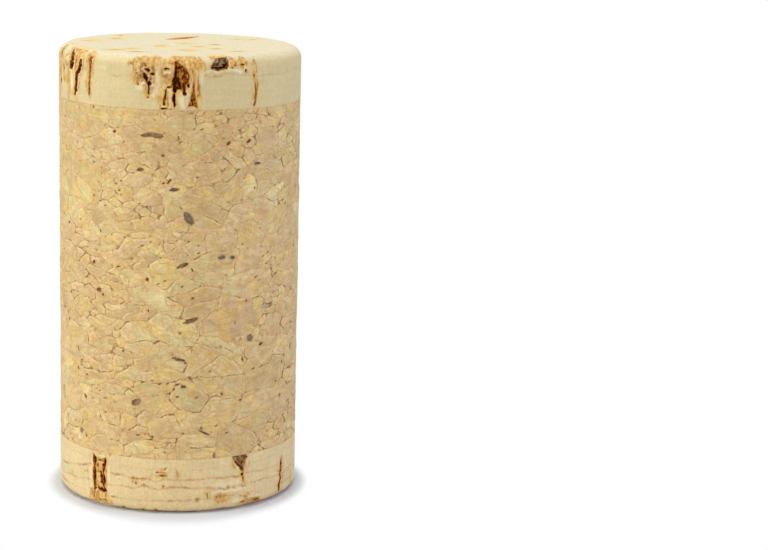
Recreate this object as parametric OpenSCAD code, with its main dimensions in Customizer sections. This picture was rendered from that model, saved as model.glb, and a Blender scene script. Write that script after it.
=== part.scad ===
// Wine cork of the 1+1 kind: a body moulded from cork granules, with a disc of
// natural cork glued on each end. It stands on its lower disc with +Z up, and the
// origin is the middle of that disc's face. Places on the wall are given by their
// turn round the cork, in degrees from the -Y side towards +X.

/* [Cork] */
// Diameter of the cork
cork_d = 23.5; // [18:0.5:30]
// Overall length of the cork
cork_h = 44; // [32:0.5:60]

/* [Discs] */
// Thickness of the upper disc of natural cork
upper_disc_h = 5; // [4:0.1:8]
// Thickness of the lower disc of natural cork
lower_disc_h = 5.4; // [4:0.1:8]
// Radius of the worn upper rim
upper_round = 1.2; // [0.4:0.1:2]
// Radius of the worn lower rim
lower_round = 0.9; // [0.4:0.1:2]

/* [Lenticels] */
// Direction of the open pores across the lower end face
pore_turn = 35; // [0:5:175]
// Length of the longest open pore on the lower end face
pore_l = 2.2; // [1:0.1:3]
// Width of the widest open pore on the lower end face
pore_w = 0.5; // [0.2:0.05:0.8]
// Depth of the deepest open pore on the lower end face
pore_depth = 1.6; // [0.5:0.1:3]
// Number of open pores on the lower end face
lower_pores = 20; // [6:1:24]
// Depth of the growth rings that show on the wall
ring_depth = 0.06; // [0.02:0.01:0.15]

/* [Granules] */
// Number of gaps between granules round the rest of the body's wall
wall_gaps = 46; // [12:1:70]
// Width of the widest gap between granules
gap_w = 1.5; // [0.6:0.1:2.4]
// Depth of the gaps between granules
gap_depth = 0.5; // [0.2:0.05:1]

/* [Hidden] */
$fn = 96;

cork_r = cork_d / 2;
body_foot = lower_disc_h;
body_top = cork_h - upper_disc_h;
body_h = body_top - body_foot;

// How far each cut starts outside the face that it opens.
clear = 0.3;

// A sunflower spread never lines up: each pore is this turn from the one before.
golden_turn = 137.5;
// Plain margin between the lower face's rim and the tips of its pores.
pore_margin = 0.8;
// Length, width and depth of the smallest pore, as shares of the largest.
least_pore = [0.4, 0.6, 0.3];
// Steps between neighbours in the spreads of sizes and turns. None is a simple
// fraction, so no pattern shows.
turn_step = 0.618;
size_step = 0.414;
shape_step = 0.732;

// Turn either side of the front within which gaps are placed one by one.
marked_turn = 82;
// Plain margin between the spread gaps and each end of the body.
gap_margin = 1;
// Width and height of the smallest gap, and height of the tallest, as shares of gap_w.
least_gap_w = 0.27;
least_gap_h = 0.2;
most_gap_h = 0.4;
// Most tilt of a spread gap, to either side.
gap_tilt = 30;
// Corners of a gap. Every other one is drawn in, to between these shares.
gap_corners = 8;
least_pull = 0.4;
most_pull = 0.75;

// Colours of the pale natural cork and the moulded granules.
disc_colour = [0.86, 0.77, 0.57];
body_colour = [0.80, 0.68, 0.48];

// Cracks in the upper disc, where lenticels meet the wall. Each is its depth, then the
// places along it: turn, height from the upper face, and width.
upper_cracks = [
    // The slit, the crooked crack and the two fainter ones at the left.
    [1.0, [
        [-64.2, -0.15, 0.16], [-61, -0.55, 0.3], [-60.4, -1, 0.36], [-61.2, -1.65, 0.44],
        [-61.3, -1.95, 0.26]]],
    [0.9, [
        [-52.6, -0.95, 0.14], [-53, -1.4, 0.3], [-53.4, -1.9, 0.28], [-55.4, -2.25, 0.5],
        [-56.2, -2.7, 0.24], [-56.6, -3.4, 0.26], [-56.9, -3.9, 0.38], [-58.1, -4.45, 0.14]]],
    [0.3, [
        [-45.9, -0.55, 0.5], [-45.8, -1.4, 0.3], [-46.1, -2.4, 0.28], [-46.4, -3.2, 0.3],
        [-46.7, -4.15, 0.34]]],
    [0.6, [[-76, -0.45, 0.14], [-75, -0.7, 0.28], [-74.2, -1.25, 0.1]]],
    // The cluster left of the middle.
    [1.0, [[-16.7, -1.65, 0.16], [-16.3, -1.9, 0.34], [-15.9, -2.25, 0.36], [-15.6, -2.55, 0.14]]],
    [0.5, [[-14.5, -2.75, 0.3], [-14.4, -3.2, 0.22], [-14.6, -3.65, 0.14]]],
    // The chamber's deep left side, and the cracks that run down from it and beside it.
    [1.3, [
        [-2.3, -0.55, 0.14], [-2.1, -1.1, 0.26], [-2.4, -1.8, 0.4], [-2.9, -2.6, 0.5],
        [-2.5, -3.45, 0.3]]],
    [1.3, [[-1.8, -2.05, 0.2], [-0.9, -2.5, 0.36], [-0.4, -3.15, 0.44]]],
    [0.7, [[-2.9, -3.4, 0.16], [-3.2, -3.9, 0.3], [-2.8, -4.3, 0.26], [-2.5, -4.75, 0.1]]],
    [0.5, [[-6.4, -3.05, 0.1], [-6.9, -3.8, 0.24], [-7.6, -4.65, 0.28]]],
    [0.4, [[36.3, -2.65, 0.12], [37, -3.4, 0.26], [36.9, -4.1, 0.26], [36, -4.85, 0.2]]],
    // Those of the sides and the back.
    [0.8, [[112, -0.25, 0.1], [112.4, -1.8, 0.3], [113, -3.45, 0.1]]],
    [0.7, [[148, -1.65, 0.1], [147.6, -3.2, 0.26], [147, -5.15, 0.14]]],
    [0.9, [[-164, 0.25, 0.2], [-163.6, -1.2, 0.34], [-163, -2.65, 0.1]]],
    [0.7, [[-118, -2.25, 0.1], [-117.8, -3.4, 0.24], [-117.4, -4.75, 0.1]]],
];

// Wider openings in the upper disc. Each is its depth, then its corners: turn, and
// height from the upper face.
upper_openings = [
    // The chamber where lenticels have opened into one.
    [0.62, [
        [-2.2, -0.4], [0.3, -0.75], [2.8, -1.15], [4.3, -1.8], [4, -2.5], [2.5, -2.8], [2.3, -3.35],
        [1.4, -3.35], [0.9, -3.05], [-0.3, -3.2], [-1.4, -3.15], [-2.5, -3.55], [-3.4, -3],
        [-3.7, -2.4], [-3, -1.7], [-2.7, -1]]],
    // The wedge at its right.
    [0.42, [
        [6.3, -1.7], [6.6, -3], [7, -3.8], [8, -4.85], [6.2, -4.65], [3.3, -4.75],
        [4.6, -3.8], [5.6, -3]]],
    // The hole on the rim, with a straight lower edge.
    [1.1, [
        [14, -1.08], [15.3, -0.48], [18.7, -0.3], [22.4, -0.15], [21.8, -0.75], [20.2, -1.1],
        [17.2, -1.3], [15.2, -1.22]]],
];

// Cracks in the lower disc, given in the same way from its glued face.
lower_cracks = [
    // The deep sides of the open lenticel.
    [1.2, [
        [-43.1, -0.25, 0.14], [-43.1, -0.8, 0.26], [-43.2, -1.4, 0.16], [-43.3, -2.6, 0.2],
        [-43.4, -3.1, 0.14], [-43.1, -3.95, 0.3]]],
    [1.2, [
        [-36.2, -0.55, 0.3], [-36.1, -1, 0.28], [-36.3, -1.4, 0.16], [-37.4, -2, 0.14], [-36.5, -2.4, 0.16],
        [-36.2, -2.8, 0.26], [-36.9, -3.3, 0.14], [-35.9, -3.7, 0.26], [-35.4, -3.95, 0.12]]],
    // The torn corner's crack, and the crooked crack at the right.
    [0.6, [[31.8, -1.55, 0.14], [32.2, -2.3, 0.16], [32.2, -2.75, 0.1]]],
    [0.6, [
        [59.3, -1.65, 0.1], [59.2, -2.1, 0.22], [59.2, -2.5, 0.26], [58.4, -3, 0.22],
        [58.8, -3.55, 0.22], [57.6, -4.1, 0.28], [57.6, -4.85, 0.2]]],
    // Those of the sides and the back.
    [0.6, [[104, 0.25, 0.1], [104.3, -1, 0.24], [105, -2.45, 0.1]]],
    [0.8, [[139, -1.75, 0.1], [138.6, -3.2, 0.3], [138, -4.95, 0.1]]],
    [0.7, [[-145, -0.45, 0.1], [-144.5, -2, 0.26], [-144, -3.65, 0.1]]],
    [0.6, [[-97, -0.85, 0.1], [-97, -1.8, 0.2], [-97, -2.75, 0.1]]],
];

// Wider openings in the lower disc, given in the same way from its glued face.
lower_openings = [
    // The floor of the open lenticel.
    [0.45, [
        [-44, -0.35], [-42.5, -0.5], [-39, -0.6], [-36.4, -0.45], [-35.7, -0.7], [-36, -1.3],
        [-37.2, -2], [-36.1, -2.6], [-35.8, -2.9], [-36.7, -3.4], [-35.2, -3.8], [-36.2, -4.05],
        [-38, -3.9], [-39.6, -3.8], [-41, -3.5], [-42.4, -3.8], [-43.8, -3.7], [-44.2, -3],
        [-44, -2.1], [-43.9, -1.2]]],
    // The torn corner under the glue line.
    [0.6, [
        [26.2, 0.25], [34.3, 0.25], [33.4, -0.7], [32.4, -1.3], [31.9, -1.7], [31.2, -1.55],
        [30, -1.15], [28.3, -0.8], [27.2, -0.4]]],
];

// Breaks out of the lower rim: depth, then corners by turn and height from the foot.
rim_breaks = [
    [0.5, [[29.5, 0.55], [31.5, 0.2], [38, 0.15], [43.5, 0.4], [42, 0.8], [37, 0.95], [33, 0.9]]],
    [0.9, [
        [-49, -0.25], [-32.6, -0.25], [-33.2, 0.25], [-34.6, 0.5], [-38, 0.55], [-43, 0.45],
        [-47.5, 0.25]]],
];

// Open pores on the upper face. Each is its place, as shares of the cork's radius, its
// length, its width, its turn from +X and its depth.
upper_pores = [
    [0.02, 0.46, 5.0, 0.8, 50, 0.9],
    [-0.77, 0.13, 1.6, 0.3, 30, 0.4],
    [-0.54, 0.33, 1.3, 0.4, 20, 0.6],
    [-0.51, 0.61, 1.2, 0.3, 60, 0.5],
    [-0.52, -0.55, 1.8, 0.35, 25, 0.4],
    [-0.41, -0.46, 1.4, 0.4, 10, 0.5],
    [-0.35, -0.7, 1.5, 0.4, 15, 0.6],
    [-0.17, -0.23, 1.7, 0.35, 35, 0.5],
    [0.03, 0.01, 1.6, 0.3, 50, 0.4],
    [0.04, -0.52, 2.0, 0.4, 5, 0.4],
    [0.14, -0.22, 1.4, 0.35, 30, 0.5],
    [0.29, -0.03, 1.2, 0.4, 35, 0.6],
    [0.28, -0.38, 1.2, 0.4, 20, 0.6],
    [0.47, 0.41, 1.4, 0.3, 55, 0.4],
    [0.61, 0.43, 1.6, 0.3, 40, 0.4],
    [0.46, -0.56, 1.6, 0.4, 15, 0.5],
];

// Growth rings that the wall cuts through. Each is its height above the disc's lower
// face, the lean of its plane and the turn that it leans towards.
upper_rings = [[3.0, 0.7, 60]];
lower_rings = [[3.42, 0.8, 20], [2.38, 0.6, -70], [1.05, 0.4, 160]];
// Half the height of a ring's groove at its mouth.
ring_w = 0.16;

// Gaps that show on the front of the body. Each is its turn, its height above the
// body's foot, its width, its height and its own tilt.
front_gaps = [
    [-15.6, 31.15, 1.1, 0.35, 4],
    [-10.8, 31.2, 1.4, 0.5, -8],
    [4.2, 23.4, 1.0, 1.3, 35],
    [-2.7, 26.1, 1.0, 0.4, 5],
    [-4.9, 26.9, 0.6, 0.3, 50],
    [1.6, 18.9, 1.3, 0.4, 20],
    [5.5, 13.6, 1.5, 0.45, 18],
    [19.9, 19.6, 0.8, 0.4, 5],
    [25.4, 19.5, 0.6, 0.35, -10],
    [-20.1, 5.5, 1.1, 0.65, 25],
    [0.5, 9.8, 1.2, 0.3, -12],
    [-31.5, 31.3, 0.35, 0.35, 0],
    [33.2, 30.5, 0.6, 0.35, 35],
    [22.7, 30.4, 0.55, 0.3, 40],
    [38.6, 28.3, 0.8, 0.3, 0],
    [-18.4, 27.9, 0.7, 0.35, 8],
    [-43.4, 18.6, 0.4, 0.35, 40],
    [-40.5, 16.0, 0.6, 0.4, 10],
    [-14.9, 17.5, 0.35, 0.35, 0],
    [35.2, 11.5, 0.7, 0.75, 60],
    [42.0, 10.7, 0.5, 0.3, 20],
    [-49.9, 5.2, 0.5, 0.3, -50],
    [12.0, 2.6, 1.2, 0.25, -28],
    [57.2, 5.0, 0.4, 0.3, 50],
    [67.7, 9.5, 0.6, 0.3, 70],
    [2.2, 7.2, 0.55, 0.3, 0],
    [-53.0, 1.6, 0.6, 0.5, 20],
];

// The part of a number after the point, a share from 0 to 1.
function share(number) = number - floor(number);

// A value the given share of the way from the least to the most.
function between(least, most, part) = least + (most - least) * part;

// A crack's closed outline from the places along it, seen straight on from one turn.
function crack_outline(places, about) = concat(
    [for (place = places) [cork_r * sin(place[0] - about) + place[2] / 2, place[1]]],
    [for (i = [len(places) - 1:-1:0]) [cork_r * sin(places[i][0] - about) - places[i][2] / 2, places[i][1]]]);

// An opening's outline from its corners, seen straight on from one turn.
function opening_outline(corners, about) =
    [for (corner = corners) [cork_r * sin(corner[0] - about), corner[1]]];

// The turn midway between the first and the last of some places round the cork.
function middle_turn(places) =
    let (turns = [for (place = places) place[0]])
    (min(turns) + max(turns)) / 2;

// The corners of a gap between granules: an oval whose every other corner is drawn in,
// as the gap between round grains is.
function gap_outline(width, height, number) =
    [for (i = [0:gap_corners - 1])
        let (
            pull = between(least_pull, most_pull, share(shape_step * (gap_corners * number + i))),
            reach = i % 2 == 0 ? 1 : pull,
            turn = 360 * i / gap_corners)
        [reach * width / 2 * cos(turn), reach * height / 2 * sin(turn)]];

// Cuts its outline straight into the wall, at a turn round the cork and a height.
module into_wall(turn, height, depth)
    rotate([0, 0, turn])
        translate([0, depth - cork_r, height])
            rotate([90, 0, 0])
                linear_extrude(depth + clear)
                    children();

// A pointed oval of the given length along X, made of two arcs.
module lens(length, width) {
    arc_r = (length * length + width * width) / (4 * width);
    intersection() {
        translate([0, width / 2 - arc_r])
            circle(arc_r);
        translate([0, arc_r - width / 2])
            circle(arc_r);
    }
}

// One open pore at a place on an end face at height 0, cut down into it.
module face_pore(place, length, width, turn, depth)
    translate([place[0], place[1], -depth])
        rotate([0, 0, turn])
            linear_extrude(depth + clear)
                lens(length, width);

// Open pores spread over the lower end face, as if it lay at height 0 facing up.
module spread_pores() {
    reach = cork_r - lower_round - pore_l / 2 - pore_margin;
    for (i = [0:lower_pores - 1]) {
        out = reach * sqrt((i + 0.5) / lower_pores);
        size = share(turn_step * i);
        face_pore(
            [out * cos(golden_turn * i), out * sin(golden_turn * i)],
            pore_l * between(least_pore[0], 1, size),
            pore_w * between(least_pore[1], 1, size),
            pore_turn,
            pore_depth * between(least_pore[2], 1, size));
    }
}

// Cracks from a table, at heights from the given one.
module cracks(table, from)
    for (crack = table)
        into_wall(middle_turn(crack[1]), from, crack[0])
            polygon(crack_outline(crack[1], middle_turn(crack[1])));

// Wider openings from a table, at heights from the given one.
module openings(table, from)
    for (opening = table)
        into_wall(middle_turn(opening[1]), from, opening[0])
            polygon(opening_outline(opening[1], middle_turn(opening[1])));

// A disc blank standing on height 0, with one rim rounded to a true arc.
module disc_blank(height, round) {
    rotate_extrude() {
        square([cork_r, height - round]);
        square([cork_r - round, height]);
        intersection() {
            translate([cork_r - round, height - round])
                circle(round);
            square([cork_r, height]);
        }
    }
}

// A growth ring that stands out on the wall as a fine groove.
module ring_groove(height, lean, towards)
    translate([0, 0, height])
        rotate([0, 0, towards])
            rotate([lean, 0, 0])
                rotate_extrude()
                    polygon([
                        [cork_r - ring_depth, 0], [cork_r + ring_depth, -ring_w],
                        [cork_r + ring_depth, ring_w]]);

// Gaps spread round the part of the body's wall away from the front.
module spread_gaps()
    for (i = [0:wall_gaps - 1])
        into_wall(
            between(marked_turn, 360 - marked_turn, share(turn_step * i)),
            body_foot + between(gap_margin, body_h - gap_margin, (i + 0.5) / wall_gaps),
            gap_depth)
            rotate(between(-gap_tilt, gap_tilt, share(size_step * i)))
                polygon(gap_outline(
                    gap_w * between(least_gap_w, 1, share(size_step * i)),
                    gap_w * between(least_gap_h, most_gap_h, share(shape_step * i)),
                    i));

// Body moulded from cork granules, with the small gaps left between them.
module agglomerated_body()
    color(body_colour)
        difference() {
            translate([0, 0, body_foot])
                cylinder(h = body_h, r = cork_r);
            for (i = [0:len(front_gaps) - 1])
                into_wall(front_gaps[i][0], body_foot + front_gaps[i][1], gap_depth)
                    rotate(front_gaps[i][4])
                        polygon(gap_outline(front_gaps[i][2], front_gaps[i][3], i));
            spread_gaps();
        }

// Upper disc of natural cork, rounded where it was handled most.
module upper_disc()
    color(disc_colour)
        difference() {
            translate([0, 0, body_top])
                disc_blank(upper_disc_h, upper_round);
            translate([0, 0, cork_h])
                for (pore = upper_pores)
                    face_pore([cork_r * pore[0], cork_r * pore[1]], pore[2], pore[3], pore[4], pore[5]);
            for (ring = upper_rings)
                ring_groove(body_top + ring[0], ring[1], ring[2]);
            cracks(upper_cracks, cork_h);
            openings(upper_openings, cork_h);
        }

// Lower disc of natural cork, which the cork stands on.
module lower_disc()
    color(disc_colour)
        difference() {
            translate([0, 0, lower_disc_h])
                mirror([0, 0, 1])
                    disc_blank(lower_disc_h, lower_round);
            mirror([0, 0, 1])
                spread_pores();
            for (ring = lower_rings)
                ring_groove(ring[0], ring[1], ring[2]);
            cracks(lower_cracks, lower_disc_h);
            openings(lower_openings, lower_disc_h);
            openings(rim_breaks, 0);
        }

agglomerated_body();
upper_disc();
lower_disc();
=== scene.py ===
import itertools
import math
from dataclasses import dataclass, replace

import bpy
import numpy as np
from mathutils import Matrix, Vector
from mathutils.geometry import delaunay_2d_cdt


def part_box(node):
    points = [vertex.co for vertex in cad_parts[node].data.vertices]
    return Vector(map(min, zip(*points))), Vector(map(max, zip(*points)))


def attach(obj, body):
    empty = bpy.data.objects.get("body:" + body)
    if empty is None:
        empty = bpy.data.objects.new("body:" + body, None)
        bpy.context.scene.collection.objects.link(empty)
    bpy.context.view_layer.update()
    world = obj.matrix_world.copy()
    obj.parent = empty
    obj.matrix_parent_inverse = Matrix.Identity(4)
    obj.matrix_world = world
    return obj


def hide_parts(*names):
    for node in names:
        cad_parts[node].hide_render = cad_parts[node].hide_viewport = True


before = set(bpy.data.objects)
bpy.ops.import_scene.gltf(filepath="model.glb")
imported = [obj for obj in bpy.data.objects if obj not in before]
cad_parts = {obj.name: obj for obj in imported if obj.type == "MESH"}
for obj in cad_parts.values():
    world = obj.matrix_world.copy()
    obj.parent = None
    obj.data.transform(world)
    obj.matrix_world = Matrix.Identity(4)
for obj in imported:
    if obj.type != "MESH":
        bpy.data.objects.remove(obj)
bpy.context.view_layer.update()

# The looks of a wine cork: a body moulded from cork granules between two discs of
# natural cork. Each piece is a dense mesh in place of its CAD node. Its wall is drawn
# unrolled, in mm: u runs round the cork from the front (-Y) towards +X, and v along
# the piece's outline. Seams, cracks and gaps are edges of the mesh itself.

MM = 0.001
BODY_LO, BODY_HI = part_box("agglomerated_body")
UPPER_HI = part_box("upper_disc")[1]
CORK_R = BODY_HI.x / MM
HALF_GIRTH = math.pi * CORK_R
GIRTH = 2 * HALF_GIRTH
BODY_FOOT = BODY_LO.z / MM
BODY_TOP = BODY_HI.z / MM
CORK_H = UPPER_HI.z / MM
# The radius of each worn rim, as in the part's source.
UPPER_ROUND = 1.2
LOWER_ROUND = 0.9


# ---------------------------------------------------------------- noise

# Large numbers that stir whole numbers into random-looking ones.
STIRRERS = (73856093, 19349663, 83492791)


def stirred(mix):
    """A random-looking number below 2 ** 31 for each whole number."""
    mix = (mix ^ mix >> 13) * 1274126177 & 0x7FFFFFFF
    return (mix ^ mix >> 15) * 1103515245 & 0x7FFFFFFF


def shares(*numbers):
    """One steady random share from 0 to 1 for each set of whole numbers."""
    mix = 0
    for n, stirrer in zip(numbers, STIRRERS):
        mix = mix ^ np.asarray(n, np.int64) * stirrer
    return (stirred(mix) >> 8) / 0x7FFFFF


def smooth(x):
    """0 to 1 with level ends."""
    x = np.clip(x, 0, 1)
    return x * x * (3 - 2 * x)


def noise(points, size, seed):
    """Smooth noise from -1 to 1 at points in space, in lumps of about that size in mm."""
    scaled = points / size
    cell = np.floor(scaled).astype(np.int64)
    part = smooth(scaled - cell)
    total = np.zeros(len(points))
    for corner in itertools.product((0, 1), repeat=3):
        x, y, z = ((cell + corner) * STIRRERS).T
        mix = stirred(x ^ y ^ z ^ (seed + 7) * 2654435761)
        weight = np.prod(np.where(corner, part, 1 - part), axis=1)
        total += weight * (mix / 0x3FFFFFFF - 1)
    return total


# ---------------------------------------------------------------- outlines

SQUARE = ((-1, -1), (1, -1), (1, 1), (-1, 1))
# How far apart the points of a blob's outline are, and of a crack's, in mm.
BLOB_STEP = 0.2
CRACK_STEP = 0.13
# How ragged a crack's edges are, as a share of its half width.
CRACK_RAGGED = 0.45


def arc(turn):
    """How far round the wall a turn in degrees is, in mm."""
    return math.radians(turn) * CORK_R


def on_wall(uv, down=0):
    """Points on the plain cylinder wall or at a depth below it, where noise closes up round
    the cork."""
    turn = uv[:, 0] / CORK_R
    r = CORK_R - down
    return np.column_stack((r * np.sin(turn), -r * np.cos(turn), uv[:, 1]))


def turned(x, y, tilt):
    """Places turned anticlockwise round (0, 0) by an angle in degrees."""
    c, s = math.cos(math.radians(tilt)), math.sin(math.radians(tilt))
    return np.column_stack((x * c - y * s, x * s + y * c))


def blob(width, height, tilt, seed, rough=0.25):
    """A closed outline like a ragged oval round (0, 0), in mm and degrees."""
    count = max(8, int(1.5 * math.pi * (width + height) / 2 / BLOB_STEP))
    draw = np.random.default_rng(seed)
    turn = np.linspace(0, 2 * math.pi, count, endpoint=False)
    reach = 1 + rough * draw.uniform(-1, 1, count)
    x = width / 2 * reach * np.cos(turn)
    y = height / 2 * reach * np.sin(turn)
    return turned(x, y, tilt)


def crack(spine, seed):
    """A closed outline along a downward spine of (x, y, width) points, with ragged edges."""
    spine = np.array(spine, float)
    along = np.concatenate(([0], np.cumsum(np.hypot(*np.diff(spine[:, :2], axis=0).T))))
    count = max(4, int(along[-1] / CRACK_STEP))
    t = np.linspace(0, along[-1], count + 1)
    x, y, width = (np.interp(t, along, spine[:, i]) for i in range(3))
    draw = np.random.default_rng(seed)
    sides = []
    for side in (-1, 1):
        reach = width / 2 * (1 + CRACK_RAGGED * draw.uniform(-1, 1, count + 1))
        sides.append(np.column_stack((x + side * reach, y)))
    return np.vstack((sides[0], sides[1][::-1]))


def edge_distance(points, outline):
    """Each point's distance to a closed outline, less than zero outside it."""
    best = np.full(len(points), 1e9)
    inside = np.zeros(len(points), bool)
    for p, q in zip(outline, np.roll(outline, -1, axis=0)):
        d = q - p
        t = np.clip((points - p) @ d / max(d @ d, 1e-12), 0, 1)
        best = np.minimum(best, np.hypot(*(points - p - t[:, None] * d).T))
        if p[1] != q[1]:
            x = p[0] + d[0] * (points[:, 1] - p[1]) / d[1]
            inside ^= ((p[1] > points[:, 1]) != (q[1] > points[:, 1])) & (points[:, 0] < x)
    return np.where(inside, best, -best)


def near(points, outline, margin):
    """Which points lie in the outline's box, with a margin."""
    lo, hi = outline.min(0) - margin, outline.max(0) + margin
    return np.where(((points > lo) & (points < hi)).all(1))[0]


@dataclass
class Opening:
    """A pit or crack: its outline on the unrolled surface, its depth, its darkness, the
    width of its sloping edge, how far it stains what is round it, how lumpy its floor is
    and how grey."""

    outline: np.ndarray
    depth: float
    dark: float
    bevel: float
    stain: float
    lumpy: float = 0.0
    grey: float = 0.0

    def beside(self, du):
        """The same opening a little way round."""
        return replace(self, outline=self.outline + (du, 0))


def at(turn, v, outline):
    """The outline moved to a turn round the cork, in degrees, and a place up the wall."""
    return outline + (arc(turn), v)


def all_round(openings):
    """The openings, with those at the back repeated past each end of the unrolled wall."""
    out = list(openings)
    for o in openings:
        if o.outline[:, 0].max() > HALF_GIRTH - 1:
            out.append(o.beside(-GIRTH))
        if o.outline[:, 0].min() < 1 - HALF_GIRTH:
            out.append(o.beside(GIRTH))
    return out


# ---------------------------------------------------------------- triangulation

# How far the points of a grid are moved at random, as a share of their distance.
JITTER = 0.2
# How far apart the points on a patch's border are, and how far inside it the next ones are
# at least, in mm.
BORDER_STEP = 0.3
BORDER_CLEAR = 0.04
# How far from an opening's outline other points keep, in widths of its sloping edge.
EDGE_CLEAR = 1.4


def hex_points(u0, u1, v0, v1, step, seed):
    """A jittered triangular grid of points inside a rectangle."""
    rows = max(1, round((v1 - v0) / (step * 0.866)))
    cols = max(1, round((u1 - u0) / step))
    draw = np.random.default_rng(seed)
    i, j = np.meshgrid(np.arange(cols), np.arange(rows))
    u = u0 + (i + 0.25 + 0.5 * (j % 2)) * (u1 - u0) / cols
    v = v0 + (j + 0.5) * (v1 - v0) / rows
    grid = np.column_stack((u.ravel(), v.ravel()))
    return grid + draw.uniform(-JITTER, JITTER, grid.shape) * step


def chain(a, b):
    """Evenly spaced points from a towards b, without b."""
    a, b = np.array(a, float), np.array(b, float)
    count = max(1, round(np.hypot(*(b - a)) / BORDER_STEP))
    return a + (b - a) * np.arange(count)[:, None] / count


def wall_border(v0, v1):
    """The edge of the unrolled wall, with matching points on its two upright sides."""
    foot = chain((-HALF_GIRTH, v0), (HALF_GIRTH, v0))
    right = chain((HALF_GIRTH, v0), (HALF_GIRTH, v1))
    top = foot[:0:-1] * (1, 0) + (0, v1)
    left = right[:0:-1] * (-1, 1)
    return np.vstack((foot, right, [(HALF_GIRTH, v1)], top, [(-HALF_GIRTH, v1)], left))


def triangulate(border, inside, points, chains, openings):
    """Delaunay triangles that keep the border, the chains and the openings as edges.

    inside(points) is the distance to the border. Returns (vertices, triangles).
    """
    points = points[inside(points) > BORDER_CLEAR]
    rings = []
    for o in openings:
        close = near(points, o.outline, 0.1)
        if len(close):
            gap = np.abs(edge_distance(points[close], o.outline))
            points = np.delete(points, close[gap < o.bevel * EDGE_CLEAR], axis=0)
        ahead = np.roll(o.outline, -1, axis=0) - o.outline
        normal = np.column_stack((-ahead[:, 1], ahead[:, 0]))
        normal /= np.maximum(np.hypot(*ahead.T), 1e-9)[:, None]
        for side, share in itertools.product((-1, 1), (0.25, 0.75)):
            ring = o.outline + ahead * share + normal * side * o.bevel
            rings.append(ring[edge_distance(ring, o.outline) > 0.85 * o.bevel])
    coords, edges, start = [], [], 0
    for loop in [border] + [o.outline for o in openings]:
        n = len(loop)
        coords.append(loop)
        edges += [(start + i, start + (i + 1) % n) for i in range(n)]
        start += n
    for line in chains:
        coords.append(line)
        edges += [(start + i, start + i + 1) for i in range(len(line) - 1)]
        start += len(line)
    flat = [Vector(p) for p in np.vstack(coords + rings + [points]).tolist()]
    verts, _, faces, _, _, _ = delaunay_2d_cdt(flat, edges, [], 0, 1e-4, False)
    uv = np.array([v[:] for v in verts])
    tris = np.array(faces)
    return uv, tris[inside(uv[tris].mean(1)) > 0]


def opening_fields(uv, openings):
    """For each point: how far down it lies, how dark, stained and grey it is, and how much
    painted highlight it takes on the opening's lip, because of an opening there or close by."""
    out = {name: np.zeros(len(uv)) for name in ("depth", "dark", "ochre", "grey", "pale")}

    def raise_to(name, rows, values):
        out[name][rows] = np.maximum(out[name][rows], values)

    for n, o in enumerate(openings):
        close = near(uv, o.outline, 3 * max(o.stain, 0.12))
        if not len(close):
            continue
        gap = edge_distance(uv[close], o.outline)
        p = np.column_stack((uv[close] * (1, 0.6), np.full(len(close), 7.0 * n)))
        lumps = noise(p, 0.42, 5) + 0.5 * noise(p, 0.2, 6)
        uneven = 0.85 + 0.15 * lumps - 0.3 * o.lumpy * (1 + lumps)
        raise_to("depth", close, o.depth * smooth(gap / o.bevel) * uneven)
        raise_to("dark", close, o.dark * smooth(gap / o.bevel + 0.5))
        raise_to("grey", close, o.grey * smooth(gap / o.bevel + 1.2))
        if o.stain:
            spread = np.exp(np.minimum(gap, 0) / o.stain) * (0.8 + 0.5 * lumps) * min(1, 1.3 * o.dark)
            raise_to("ochre", close, np.clip(spread, 0, 1))
        # Painted highlight along the opening's lip, broken up by noise.
        lip_highlight = np.exp(-((gap + 0.1) / 0.07) ** 2) * smooth(0.4 + 1.5 * noise(p, 0.6, 7))
        raise_to("pale", close, lip_highlight * o.dark)
    return out


# ---------------------------------------------------------------- meshes

# Vertices that are the same at this many steps to a mm are in one place.
WELD_STEPS = 2000


def weld(co, tris):
    """Joins vertices that lie in one place and drops those that no triangle uses.

    Returns the kept vertices' numbers, the triangles and which of them are whole.
    """
    key = np.round(co * WELD_STEPS).astype(np.int64)
    _, first, same = np.unique(key, axis=0, return_index=True, return_inverse=True)
    tris = same.reshape(-1)[tris]
    whole = (tris[:, 0] != tris[:, 1]) & (tris[:, 1] != tris[:, 2]) & (tris[:, 2] != tris[:, 0])
    used, tris = np.unique(tris, return_inverse=True)
    return first[used], tris.reshape(-1, 3), whole


def open_edges(tris):
    """The directed edges that only one triangle uses."""
    edges = np.vstack((tris[:, [0, 1]], tris[:, [1, 2]], tris[:, [2, 0]]))
    size = int(tris.max()) + 1
    code = edges[:, 0] * size + edges[:, 1]
    back = edges[:, 1] * size + edges[:, 0]
    return edges[~np.isin(code, back)]


# Edges that bend by more than this are drawn sharp.
SHARP = math.radians(55)


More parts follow.
